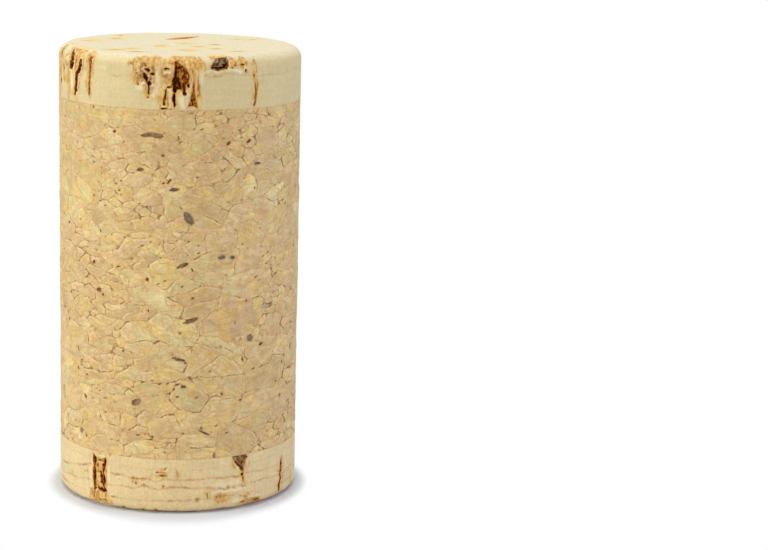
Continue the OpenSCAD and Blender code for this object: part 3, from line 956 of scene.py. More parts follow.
def disc_wall(skin, looks, seed):
    """The mesh of a disc's wall and rim: places on the unrolled skin and in space, triangles
    and fields."""
    def inside(uv):
        return np.minimum(HALF_GIRTH - np.abs(uv[:, 0]), np.minimum(uv[:, 1], skin.length - uv[:, 1]))

    grid = hex_points(-HALF_GIRTH, HALF_GIRTH, 0, skin.length, DISC_STEP, seed)
    border = wall_border(0, skin.length)
    uv, tris = triangulate(border, inside, grid, [], looks.openings)
    p = on_wall(uv)
    fields = opening_fields(uv, looks.openings)
    line = line_fields(uv, skin, looks.lines)
    rough = wall_patches(uv, skin, looks.rough)
    # Painted highlights, in patches and along lines; they also stand a little proud.
    pale = np.maximum(wall_patches(uv, skin, looks.pale), line_fields(uv, skin, looks.pale_lines))
    relief = 0.02 + 0.02 * noise(p, 1.4, seed + 1) + 0.012 * noise(p * (1, 1, 0.4), 0.35, seed + 2)
    relief = relief + 0.03 * line + rough * (0.12 + 0.16 * noise(p, 0.3, seed + 3)) - 0.07 * pale
    co = skin.lift(uv, np.maximum(fields.pop("depth"), np.clip(relief, -0.08, 0.4)))
    glue = np.exp(-(uv[:, 1] / GLUE_LINE) ** 2) * smooth(0.4 + 1.2 * noise(p, 1.3, seed + 6))
    fields["ochre"] = np.maximum(fields["ochre"], wall_patches(uv, skin, looks.ochre))
    fields["pale"] = np.maximum(fields["pale"], pale)
    # Growth lines and the glue line, and on the lower disc the painted shade line at its foot.
    fields["ring"] = np.maximum(line, looks.glue * glue)
    fields["rough"] = rough
    return uv, co, tris, fields


def disc_face(skin, looks, seed, rim):
    """The mesh of a disc's free face, which starts from the wall's last row of points."""
    def inside(xy):
        return skin.face_r - np.hypot(*xy.T) - RIM_SAG

    grid = hex_points(-skin.face_r, skin.face_r, -skin.face_r, skin.face_r, FACE_STEP, seed + 5)
    grid = grid[inside(grid) > RIM_CLEAR]
    xy, tris = triangulate(rim[:, :2], inside, grid, [], looks.pores)
    fields = opening_fields(xy, looks.pores)
    co = np.column_stack((xy, np.full(len(xy), skin.face_z)))
    fade = smooth(inside(xy) / 0.5)
    relief = (0.02 * noise(co, 1.4, seed + 1) + 0.01 * noise(co, 0.4, seed + 2) + 0.02) * fade
    co[:, 2] -= skin.side * np.maximum(fields.pop("depth"), relief)
    for corner in rim:
        co[np.argmin(np.hypot(*(xy - corner[:2]).T))] = corner
    fields["ochre"] = np.maximum(fields["ochre"], patches(co, xy[:, 0], xy[:, 1], looks.face_ochre))
    fields["ring"] = fields["rough"] = 0 * fade
    return co, tris, fields


def make_disc(name, node, skin, looks, seed, material):
    """A disc of natural cork, from the patches of its wall and its free face."""
    uv, co, tris, fields = disc_wall(skin, looks, seed)
    row = np.where(uv[:, 1] > skin.length - 1e-6)[0]
    row = row[np.argsort(uv[row, 0])][:-1]
    face_co, face_tris, face_fields = disc_face(skin, looks, seed, co[row])
    if skin.side < 0:
        tris, face_tris = tris[:, ::-1], face_tris[:, ::-1]
    piece = Piece()
    piece.add(co, tris, fields, {}, {})
    piece.add(face_co, face_tris, face_fields, {}, {})
    piece.join()
    piece.cap(skin.glue_z)
    piece.finish(name, node, "natural_cork", material)


# The marks on each disc's wall, as wall_openings(), line_fields() and wall_patches() say.
UPPER_SHAPES = (
    # The chamber, the wedge at its right and the hole on the rim.
    (0.9, 0.58, 0.7, 0, ((-2.2, 43.6), (0.3, 43.25), (2.8, 42.85), (4.3, 42.2), (4.0, 41.5), (2.5, 41.2),
        (2.3, 40.5), (1.4, 40.5), (0.9, 40.95), (-0.3, 40.8), (-1.4, 40.85), (-2.5, 40.45), (-3.4, 41.0),
        (-3.7, 41.6), (-3.0, 42.3), (-2.7, 43.0))),
    (0.4, 0.5, 0.6, 0, ((6.3, 42.3), (6.6, 41.0), (7.0, 40.2), (8.0, 39.15), (6.2, 39.35), (3.3, 39.3),
        (4.6, 40.2), (5.6, 41.0))),
    (0.8, 0.5, 0.5, 0.8, ((14.0, 42.92), (15.3, 43.52), (18.7, 43.7), (22.4, 43.86), (21.8, 43.25),
        (20.2, 42.9), (17.2, 42.7), (15.2, 42.78))),
)
UPPER_CRACKS = (
    # The slit, the crooked crack and the ochre crack at the left, with the marks round them.
    (1.0, 1.0, ((-63.4, 43.8, 0.2), (-61.0, 43.45, 0.46), (-60.4, 43.0, 0.62), (-61.0, 42.35, 0.8),
        (-61.4, 42.0, 0.5))),
    (0.4, 0.6, ((-56.3, 43.1, 0.1), (-57.0, 42.7, 0.2), (-57.6, 42.3, 0.1))),
    (0.9, 1.0, ((-52.6, 43.1, 0.24), (-53.0, 42.6, 0.5), (-53.9, 42.1, 0.4), (-55.4, 41.75, 0.66),
        (-56.2, 41.3, 0.36), (-56.6, 40.6, 0.4), (-56.9, 40.1, 0.52), (-58.1, 39.6, 0.2))),
    (0.3, 0.4, ((-45.9, 43.5, 0.5), (-45.8, 42.6, 0.3), (-46.1, 41.6, 0.28), (-46.4, 40.8, 0.3),
        (-46.7, 39.85, 0.34))),
    (0.6, 0.9, ((-76.0, 43.6, 0.14), (-75.0, 43.3, 0.28), (-74.2, 42.8, 0.1))),
    # The cluster left of the middle.
    (1.0, 1.0, ((-16.7, 42.35, 0.16), (-16.3, 42.1, 0.34), (-15.9, 41.75, 0.36), (-15.6, 41.5, 0.14))),
    (0.5, 0.7, ((-14.5, 41.3, 0.3), (-14.4, 40.8, 0.22), (-14.6, 40.4, 0.14))),
    # The chamber's dark side and the cracks that run down from it and beside it.
    (1.0, 0.92, ((-2.3, 43.5, 0.14), (-2.1, 42.9, 0.22), (-2.4, 42.2, 0.28), (-2.9, 41.4, 0.42),
        (-2.5, 40.55, 0.3))),
    (1.0, 0.9, ((-1.8, 42.0, 0.2), (-0.9, 41.5, 0.36), (-0.4, 40.9, 0.44))),
    (0.7, 0.9, ((-2.9, 40.5, 0.16), (-3.2, 40.1, 0.3), (-2.8, 39.7, 0.26), (-2.5, 39.3, 0.1))),
    (0.5, 0.5, ((-6.4, 40.95, 0.1), (-6.9, 40.2, 0.24), (-7.6, 39.4, 0.28))),
    (0.3, 0.6, ((5.7, 41.4, 0.1), (5.6, 40.4, 0.16), (5.2, 39.7, 0.3))),
    # The crack at the right, and those of the back.
    (0.3, 0.42, ((36.3, 41.4, 0.12), (37.0, 40.6, 0.26), (36.9, 39.9, 0.26), (36.0, 39.2, 0.2))),
    (0.8, 0.9, ((112, 43.8, 0.1), (112.4, 42.2, 0.3), (113, 40.6, 0.1))),
    (0.7, 0.8, ((148, 42.4, 0.1), (147.6, 40.8, 0.26), (147, 38.9, 0.14))),
    (0.9, 1.0, ((-164, 44.05, 0.2), (-163.6, 42.8, 0.34), (-163, 41.4, 0.1))),
    (0.7, 0.7, ((-118, 41.8, 0.1), (-117.8, 40.6, 0.24), (-117.4, 39.3, 0.1))),
)
UPPER_PITS = (
    (-45.8, 42.35, 0.16, 0.3, 0.4, 0.8), (-46.2, 41.4, 0.14, 0.24, 0.4, 0.8),
    (-69.6, 41.87, 0.28, 0.24, 0.4, 0.9), (-75.9, 40.6, 0.5, 0.45, 0.5, 1),
    (-66, 42.3, 0.26, 0.2, 0.3, 0.6), (-15.4, 42.65, 0.62, 0.34, 0.5, 0.9, -14),
    (-14.3, 41.4, 0.42, 0.42, 0.8, 1), (-13.0, 42.26, 0.5, 0.32, 0.3, 0.62),
    (-19.8, 42.25, 0.3, 0.34, 0.2, 0.45), (-19.8, 41.8, 0.3, 0.24, 0.2, 0.4),
    (-19.7, 41.3, 0.3, 0.3, 0.2, 0.36), (-17.8, 42.5, 0.3, 0.2, 0.2, 0.5),
    (-14.9, 40.1, 0.3, 0.2, 0.2, 0.35), (-6.4, 42.8, 0.5, 0.18, 0.3, 0.75),
    (-6.4, 42.1, 0.8, 0.3, 0.2, 0.32), (-5.5, 41.1, 0.5, 0.2, 0.3, 0.85, 8),
    (-7.6, 39.12, 0.64, 0.18, 0.4, 0.9, 4), (1.8, 40.55, 0.36, 0.36, 0.7, 1),
    (3.6, 41.3, 0.3, 0.4, 0.5, 0.8), (5.6, 39.9, 0.5, 0.3, 0.4, 0.8), (7.4, 39.4, 0.24, 0.4, 0.3, 0.6),
    (18.4, 43.72, 0.8, 0.16, 0.6, 0.8, 4), (15.9, 42.93, 0.7, 0.3, 0.9, 1, -6),
    (17.8, 42.86, 0.8, 0.36, 0.9, 1, 4), (19.8, 42.96, 0.8, 0.4, 0.9, 1, 12),
    (21.3, 43.34, 0.46, 0.8, 0.9, 1, -12), (25.7, 43.1, 0.34, 0.22, 0.2, 0.36),
    (29.4, 43.15, 0.5, 0.34, 0.25, 0.42), (31.1, 42.58, 0.26, 0.28, 0.25, 0.7),
    (35.9, 42.03, 0.3, 0.4, 0.2, 0.4), (24.2, 42.9, 0.2, 0.2, 0.2, 0.4),
    (-23.1, 43.2, 0.3, 0.2, 0.15, 0.36),
)
UPPER_LINES = (
    (0.4, 0.1, ((-181, 41.6), (-100, 41.9), (-73.6, 42.08), (-65.9, 42.25), (-40, 42.2), (-30, 41.9),
        (-22, 42.2), (-10, 42.3))),
    (0.5, 0.1, ((10.2, 42.2), (13.0, 42.1), (16.7, 42.06), (22.2, 42.33), (30.2, 42.16), (35.7, 42.03),
        (51.7, 42.0), (67.3, 42.19), (80, 42.0), (120, 41.5), (181, 41.6))),
    (0.12, 0.09, ((-181, 40.4), (-60, 40.7), (0, 40.2), (60, 40.6), (181, 40.4))),
)
# Painted highlights along lines on the upper wall.
UPPER_HIGHLIGHT_LINES = (
    (0.8, 0.12, ((10.5, 42.5), (14, 42.62), (16.6, 42.42), (22.2, 42.72), (28.0, 42.5))),
)
UPPER_OCHRE = (
    (-53.6, 43.72, 1.5, 0.6, 1.0), (-53.0, 43.3, 1.1, 1.1, 1.0), (-63.0, 43.9, 2.2, 0.4, 1.0),
    (-61.0, 42.9, 0.9, 2.4, 0.8), (-56.4, 41.2, 1.0, 3.8, 0.9), (-53.6, 42.4, 0.9, 1.8, 0.9),
    (-46.0, 43.4, 0.8, 1.3, 1.0), (-46.2, 41.5, 0.62, 4.4, 1.0), (-69.6, 41.2, 0.6, 1.2, 0.9),
    (-78, 41.8, 1.5, 5.4, 1.0), (-64.2, 40.8, 0.8, 3.0, 0.6), (-66, 42.8, 1.6, 1.3, 0.8),
    (-17, 43.5, 3.0, 0.8, 0.5), (-9.0, 43.4, 2.0, 0.8, 0.45), (2.6, 43.55, 3.4, 0.9, 0.7),
    (8.6, 43.1, 1.6, 1.3, 0.6), (-6.3, 42.2, 1.5, 0.8, 0.9), (-6.2, 41.5, 1.3, 0.9, 0.6),
    (-15.6, 41.9, 3.0, 1.9, 0.8), (24.6, 43.4, 2.0, 0.8, 0.5), (-23.3, 43.2, 0.7, 0.5, 0.9),
    (-15.5, 42.1, 2.6, 2.8, 0.6), (-12.4, 42.9, 0.9, 1.8, 0.85), (-17, 43.3, 1.8, 0.7, 0.55),
    (-14.7, 40.6, 0.8, 1.6, 0.8), (-6.2, 42.4, 1.6, 1.8, 0.5), (-7.2, 40.2, 1.3, 2.6, 0.75),
    (-3.0, 40.0, 0.7, 1.8, 0.8), (-1.0, 43.5, 2.4, 0.9, 0.9), (3.0, 43.1, 1.6, 1.2, 0.8),
    (5.0, 42.3, 0.8, 2.0, 0.7), (6.2, 41.3, 0.7, 3.2, 0.9), (7.9, 40.8, 0.5, 4.4, 0.7),
    (5.9, 39.9, 1.3, 1.8, 1.0), (18, 43.9, 1.8, 0.6, 0.8), (29.5, 43.2, 1.4, 0.9, 0.85),
    (25.2, 43.2, 1.8, 0.6, 0.8), (36.3, 42.9, 0.5, 1.6, 0.7), (36.6, 40.4, 0.6, 2.8, 0.95),
    (118, 42.0, 1.4, 2.4, 0.5), (-160, 42.8, 1.6, 2.2, 0.6),
)
UPPER_ROUGH = (
    (-15.4, 42.1, 2.2, 1.7, 1.0), (-14.4, 40.9, 0.8, 1.4, 0.6), (0.4, 42.0, 2.0, 2.6, 0.9),
    (-6.0, 41.9, 1.5, 1.4, 0.4), (5.8, 39.8, 0.9, 1.2, 0.4), (-66.5, 43.2, 1.0, 1.0, 0.4),
    (-19.7, 41.8, 0.8, 1.4, 0.5),
)
# Painted highlights in patches on the upper wall.
UPPER_HIGHLIGHTS = (
    (-17.1, 41.4, 0.5, 0.3, 0.8), (-6.0, 42.45, 0.9, 0.26, 0.9), (-60.3, 40.9, 0.5, 2.2, 0.7),
    (-64.5, 42.9, 0.5, 1.0, 0.8), (0.3, 42.15, 0.3, 0.4, 0.7), (17.6, 43.3, 0.5, 0.3, 0.7),
    (-67.0, 42.9, 0.5, 0.5, 0.8), (2.1, 39.9, 1.5, 1.3, 0.6), (-18.6, 41.0, 0.9, 0.8, 0.5),
    (-10.6, 41.6, 0.7, 2.2, 0.4), (9.4, 42.0, 0.5, 1.6, 0.5), (-4.6, 40.4, 0.4, 1.4, 0.5),
    (-12.6, 40.7, 0.5, 1.0, 0.5), (-38, 42.6, 0.8, 0.4, 0.3),
)

LOWER_SHAPES = (
    # The open lenticel's floor, the torn corner, the chip and the break on the rim under
    # the lenticel.
    (0.3, 0.2, 0.9, 0, ((-44.0, 5.05), (-42.5, 4.9), (-39.0, 4.8), (-36.4, 4.95), (-35.7, 4.7),
        (-36.0, 4.1), (-37.2, 3.4), (-36.1, 2.8), (-35.8, 2.5), (-36.7, 2.0), (-35.2, 1.6), (-36.2, 1.35),
        (-38.0, 1.5), (-39.6, 1.6), (-41.0, 1.9), (-42.4, 1.6), (-43.8, 1.7), (-44.2, 2.4), (-44.0, 3.3),
        (-43.9, 4.2))),
    (0.6, 0.46, 0.6, 0.45, ((26.2, 5.45), (34.3, 5.45), (33.4, 4.7), (32.4, 4.1), (31.9, 3.7),
        (31.2, 3.85), (30.0, 4.25), (28.3, 4.6), (27.2, 5.0))),
    (0.3, 0.16, 0.6, 0, ((29.5, 0.55), (33.0, 0.9), (37.0, 0.95), (42.0, 0.8), (43.5, 0.4), (38.0, 0.15),
        (31.5, 0.2))),
    (0.45, 0.16, 0.6, 0, ((-48.5, 0.06), (-46.5, 0.25), (-43.0, 0.42), (-38.0, 0.5), (-34.8, 0.5),
        (-33.6, 0.25), (-33.0, 0.04), (-38.0, 0.02), (-44.0, 0.02))),
)
LOWER_CRACKS = (
    # The lenticel's deep sides, and the thin crack under it.
    (1.0, 1.0, ((-43.9, 5.05, 0.14), (-43.6, 4.7, 0.28), (-43.6, 4.3, 0.26), (-43.8, 3.9, 0.1),
        (-43.7, 3.3, 0.12), (-43.6, 2.9, 0.2), (-43.8, 2.4, 0.08), (-43.3, 1.9, 0.26), (-43.2, 1.55, 0.2))),
    (0.5, 0.95, ((-37.2, 4.85, 0.24), (-37.2, 4.4, 0.3), (-37.5, 4.0, 0.24), (-38.3, 3.5, 0.16),
        (-37.8, 3.1, 0.2), (-37.6, 2.6, 0.28), (-38.1, 2.1, 0.16), (-37.1, 1.75, 0.28),
        (-36.2, 1.5, 0.18))),
    (0.45, 0.75, ((-39.9, 3.5, 0.1), (-39.4, 3.1, 0.22), (-39.0, 2.7, 0.26), (-39.3, 2.3, 0.12))),
    (0.4, 0.8, ((-43.2, 2.1, 0.1), (-41.6, 1.95, 0.16), (-40.4, 1.75, 0.2), (-39.2, 1.55, 0.24))),
    (0.4, 0.6, ((-43.3, 1.4, 0.08), (-43.4, 1.1, 0.14), (-43.4, 0.7, 0.08))),
    # The torn corner's crack, and the crooked crack at the right.
    (0.8, 1.0, ((28.3, 4.8, 0.3), (29.8, 4.45, 0.3), (31.2, 4.15, 0.34), (31.8, 3.8, 0.2))),
    (0.4, 0.6, ((31.8, 3.6, 0.12), (32.2, 3.1, 0.16), (32.2, 2.7, 0.1))),
    (0.6, 1.0, ((59.3, 3.8, 0.1), (59.2, 3.3, 0.22), (59.2, 2.9, 0.26), (58.4, 2.4, 0.22),
        (58.8, 1.85, 0.22), (57.6, 1.3, 0.28), (57.6, 0.6, 0.2))),
    (0.1, 0.28, ((-1.6, 4.6, 0.08), (-0.2, 4.1, 0.12), (-0.3, 3.4, 0.08))),
    (0.2, 0.5, ((13.6, 2.0, 0.1), (13.9, 1.6, 0.14), (14.1, 1.4, 0.08))),
    # Those of the sides and the back.
    (0.6, 0.8, ((104, 5.6, 0.1), (104.3, 4.4, 0.24), (105, 3, 0.1))),
    (0.8, 0.9, ((139, 3.7, 0.1), (138.6, 2.2, 0.3), (138, 0.5, 0.1))),
    (0.7, 0.8, ((-145, 5.0, 0.1), (-144.5, 3.4, 0.26), (-144, 1.8, 0.1))),
    (0.6, 0.7, ((-97, 4.6, 0.1), (-97, 3.6, 0.2), (-97, 2.7, 0.1))),
)
LOWER_PITS = (
    (-39.2, 4.55, 1.1, 0.22, 0.4, 0.5), (-38.4, 4.15, 0.34, 0.2, 0.5, 0.8),
    (-39.1, 2.95, 0.4, 0.4, 0.5, 0.9), (-38.8, 2.4, 0.2, 0.44, 0.6, 0.95),
    (-39.3, 1.72, 0.34, 0.34, 0.6, 1), (-37.7, 1.6, 0.44, 0.22, 0.6, 0.95),
    (-40.6, 3.38, 0.8, 0.12, 0.6, 0.8), (-41.9, 4.0, 0.3, 0.4, 0.45, 0.45),
    (-39.7, 0.67, 0.4, 0.2, 0.3, 0.5), (-36.8, 0.74, 0.5, 0.18, 0.3, 0.45),
    (-45.8, 1.5, 0.5, 0.2, 0.15, 0.3), (-46.2, 4.0, 0.3, 0.18, 0.15, 0.5),
    (31.7, 3.48, 0.34, 0.3, 0.4, 0.9), (33.6, 5.1, 0.4, 0.24, 0.4, 0.7), (29.9, 5.25, 1.4, 0.16, 0.5, 0.75),
    (-7.8, 4.1, 1.0, 0.13, 0.12, 0.36), (-7.2, 3.78, 0.95, 0.17, 0.15, 0.55, 2),
    (-6.1, 4.47, 0.46, 0.16, 0.12, 0.36, 40), (-9.9, 4.12, 0.3, 0.2, 0.12, 0.36),
    (-6.8, 2.72, 0.22, 0.2, 0.12, 0.4), (-21.6, 3.38, 0.34, 0.16, 0.15, 0.5),
    (-19.9, 3.32, 0.34, 0.16, 0.15, 0.45), (-16.3, 3.4, 0.26, 0.14, 0.12, 0.35),
    (-21.6, 3.02, 0.26, 0.2, 0.12, 0.3), (-20.0, 2.92, 0.2, 0.26, 0.12, 0.42),
    (-16.0, 2.65, 0.4, 0.14, 0.12, 0.35, -10), (-31.9, 1.22, 0.5, 0.22, 0.12, 0.34),
    (9.1, 1.37, 0.22, 0.3, 0.12, 0.36, 20), (20.6, 1.5, 1.2, 0.34, 0.14, 0.34, 3),
    (25.2, 1.5, 0.9, 0.08, 0.12, 0.4, 2), (20.6, 1.14, 0.9, 0.1, 0.12, 0.45, 4),
    (33.4, 1.16, 0.5, 0.3, 0.15, 0.3), (33.0, 0.5, 0.8, 0.16, 0.3, 0.6), (41.0, 0.38, 0.9, 0.18, 0.3, 0.8),
    (-27, 0.25, 0.3, 0.2, 0.3, 0.9), (-17, 0.2, 0.36, 0.2, 0.3, 0.9, 10),
    (-10.5, 0.2, 0.4, 0.22, 0.3, 0.95), (27.0, 2.3, 0.2, 0.16, 0.12, 0.4),
    (24.0, 2.4, 0.2, 0.18, 0.12, 0.4), (-50, 3.1, 0.24, 0.16, 0.12, 0.4), (56.5, 2.7, 0.16, 0.2, 0.12, 0.4),
)
LOWER_LINES = (
    (0.9, 0.09, ((-181, 3.0), (-110, 2.8), (-71, 2.9), (-47, 3.8), (-33.7, 3.56), (-27.9, 3.54),
        (-21.6, 3.35), (-14.4, 3.44), (-10.6, 3.22), (-6.9, 3.32), (-2.5, 3.41), (15, 3.42), (20.5, 3.28),
        (27.4, 3.37), (31.0, 3.26), (34.0, 3.56), (41.4, 3.42), (58.8, 3.5), (59.4, 2.5), (70.2, 2.52),
        (81.8, 2.61), (120, 3.2), (181, 3.0))),
    (0.9, 0.09, ((-181, 2.0), (-75, 1.8), (-50, 2.3), (-33.7, 2.36), (-26.4, 2.42), (-20.3, 2.37),
        (-16.4, 2.71), (-13.1, 2.49), (-8.7, 2.41), (-3.7, 2.74), (2.5, 2.61), (8.7, 2.5), (15.3, 2.45),
        (23.6, 2.17), (26.7, 2.45), (33.3, 2.44), (45.1, 2.45), (55.5, 2.36), (90, 2.0), (181, 2.0))),
    (0.5, 0.1, ((-181, 1.1), (-30, 1.25), (0, 1.3), (31, 1.6), (40, 1.4), (70, 1.3), (181, 1.1))),
    (0.25, 0.08, ((-181, 4.4), (-60, 4.7), (0, 4.3), (60, 4.6), (181, 4.4))),
    # Painted shade: a dark line along the foot of the rim, where the cork meets the floor.
    (1.0, 0.1, ((-181, 0.1), (-55, 0.1), (-44, 0.2), (-36, 0.24), (-33, 0.12), (0, 0.1), (28, 0.14),
        (40, 0.18), (55, 0.12), (181, 0.1))),
)
# Painted highlights along lines on the lower wall.
LOWER_HIGHLIGHT_LINES = (
    (0.8, 0.1, ((17, 1.9), (27, 2.0), (33, 2.0))),
    (0.8, 0.1, ((34, 1.1), (38, 1.0), (41.5, 0.95))),
)
LOWER_OCHRE = (
    (-40, 3.4, 2.0, 4.4, 1.0), (-39.3, 0.9, 2.3, 1.7, 1.0), (-40.6, 4.3, 1.0, 1.2, 1.0),
    (-40.8, 2.6, 1.0, 1.6, 1.0), (-43.8, 1.2, 0.9, 0.9, 0.8), (-36.5, 0.9, 1.0, 0.9, 0.9),
    (-7.6, 3.9, 1.4, 0.9, 0.4), (-20.5, 3.0, 1.2, 0.5, 0.3), (31.0, 4.5, 1.7, 1.4, 0.9),
    (32.3, 3.0, 0.5, 1.6, 0.8), (22.0, 1.35, 2.0, 0.9, 0.5), (33.4, 1.1, 1.2, 0.7, 0.6),
    (37, 0.6, 2.8, 0.5, 0.6), (21.0, 1.3, 1.4, 0.5, 0.9), (57.9, 1.1, 0.5, 1.3, 1.0),
    (71.7, 1.2, 0.6, 1.4, 0.5), (-62, 2.4, 1.2, 0.5, 0.3), (142, 2.4, 1.4, 2.4, 0.5),
    (-140, 3.4, 1.4, 2.4, 0.5),
)
LOWER_ROUGH = (
    (-7.4, 3.92, 1.0, 0.5, 0.35), (23, 1.3, 2.4, 0.9, 0.3), (30.2, 5.0, 1.2, 0.7, 0.7),
    (36, 0.5, 3.0, 0.4, 0.4),
)
# Painted highlights in patches on the lower wall.
LOWER_HIGHLIGHTS = (
    (-34.6, 3.0, 0.4, 3.2, 0.4), (-45.4, 3.2, 0.5, 3.4, 0.6), (24.5, 2.7, 3.4, 0.6, 0.35),
    (29, 0.9, 1.6, 0.5, 0.5), (-37.9, 1.78, 0.3, 0.24, 1.0), (-38.5, 5.05, 1.4, 0.3, 0.6),
    (-41.3, 3.2, 0.4, 0.5, 1.0), (-41.0, 2.6, 0.34, 0.4, 0.8), (-42.4, 4.5, 0.3, 0.5, 0.5),
    (-39.2, 3.4, 0.34, 0.2, 1.0),
)

# Pores on the upper face: length, width, tilt, place, depth and darkness.
UPPER_PORES = (
    (5.2, 1.5, 50, 0.2, 5.4, 0.4, 0.42), (1.6, 0.3, 30, -9.0, 1.5, 0.4, 0.3),
    (1.3, 0.4, 20, -6.4, 3.9, 0.6, 0.5), (1.2, 0.3, 60, -6.0, 7.2, 0.5, 0.4),
    (1.8, 0.35, 25, -6.1, -6.5, 0.4, 0.4), (1.4, 0.4, 10, -4.8, -5.4, 0.5, 0.45),
    (1.5, 0.4, 15, -4.1, -8.2, 0.6, 0.6), (1.7, 0.35, 35, -2.0, -2.7, 0.5, 0.4),
    (1.6, 0.3, 50, 0.3, 0.1, 0.4, 0.4), (2.0, 0.4, 5, 0.5, -6.1, 0.4, 0.3),
    (1.4, 0.35, 30, 1.7, -2.6, 0.5, 0.4), (1.2, 0.4, 35, 3.4, -0.4, 0.6, 0.5),
    (1.2, 0.4, 20, 3.3, -4.5, 0.6, 0.6), (1.4, 0.3, 55, 5.5, 4.8, 0.4, 0.4),
    (1.6, 0.3, 40, 7.2, 5.1, 0.4, 0.4), (1.6, 0.4, 15, 5.4, -6.6, 0.5, 0.3),
)
# Stains round them: place, size along X and Y, and amount.
UPPER_FACE_OCHRE = (
    (0.2, 5.4, 2.8, 4.4, 0.5), (-8.6, 1.5, 2.4, 2.4, 0.8), (-6.4, 3.9, 2.0, 2.2, 0.8),
    (-6.0, 7.2, 2.0, 2.0, 0.8), (-6.1, -6.5, 2.2, 2.2, 0.8), (-4.6, -5.4, 1.4, 1.8, 0.8),
    (-4.1, -8.2, 1.4, 1.2, 0.9), (-1.9, -2.7, 2.0, 2.4, 0.7), (0.3, 0.1, 1.9, 2.0, 0.7),
    (0.6, -6.1, 2.2, 2.6, 0.9), (1.8, -2.6, 1.6, 2.0, 0.7), (3.4, -0.4, 1.8, 1.8, 0.8),
    (3.3, -4.5, 1.4, 1.4, 0.9), (5.5, 4.8, 1.8, 2.0, 0.7), (7.2, 5.1, 1.8, 2.0, 0.7),
    (5.4, -6.6, 1.8, 1.6, 0.8), (9.4, -6.7, 1.6, 1.3, 1.0),
)
# How many pores the lower face has, and how much further round each is than the last.
LOWER_PORES = 20
GOLDEN_TURN = math.radians(137.5)


def lower_pores():
    """Pores spread over the face that the cork stands on."""
    pores = []
    for i in range(LOWER_PORES):
        reach = (CORK_R - LOWER_ROUND - 1.9) * math.sqrt((i + 0.5) / LOWER_PORES)
        x, y = reach * math.cos(GOLDEN_TURN * i), reach * math.sin(GOLDEN_TURN * i)
        share = i * SPREADERS[0] % 1
        length, width = 2.2 * (0.4 + 0.6 * share), 0.5 * (0.6 + 0.4 * share)
        pores.append((length, width, 35, x, y, 1.6 * (0.3 + 0.7 * share), 0.8))
    return pores


# ---------------------------------------------------------------- materials

# How glossy plain cork is, and how high its finest lumps are, in metres.
GLOSS = 0.4
BUMP = 0.00005


class Nodes:
    """A node tree, and short ways to build in it."""

    def __init__(self, tree):
        self.tree = tree

    def plug(self, socket, value):
        if isinstance(value, bpy.types.NodeSocket):
            self.tree.links.new(value, socket)
        else:
            socket.default_value = value

    def node(self, kind, *inputs, **settings):
        """A new node with these settings, and with its first inputs plugged in."""
        made = self.tree.nodes.new("ShaderNode" + kind)
        for key, value in settings.items():
            setattr(made, key, value)
        for socket, value in zip(made.inputs, inputs):
            if value is not None:
                self.plug(socket, value)
        return made

    def math(self, operation, a, b=None, c=None):
        return self.node("Math", a, b, c, operation=operation).outputs[0]

    def times(self, a, b):
        return self.math("MULTIPLY", a, b)

    def seen(self):
        """1 for the rays that show a surface, and 0 for those that only light others."""
        rays = self.node("LightPath").outputs
        bent = self.math("MAXIMUM", rays["Is Glossy Ray"], rays["Is Transmission Ray"])
        return self.math("MAXIMUM", rays["Is Camera Ray"], bent)


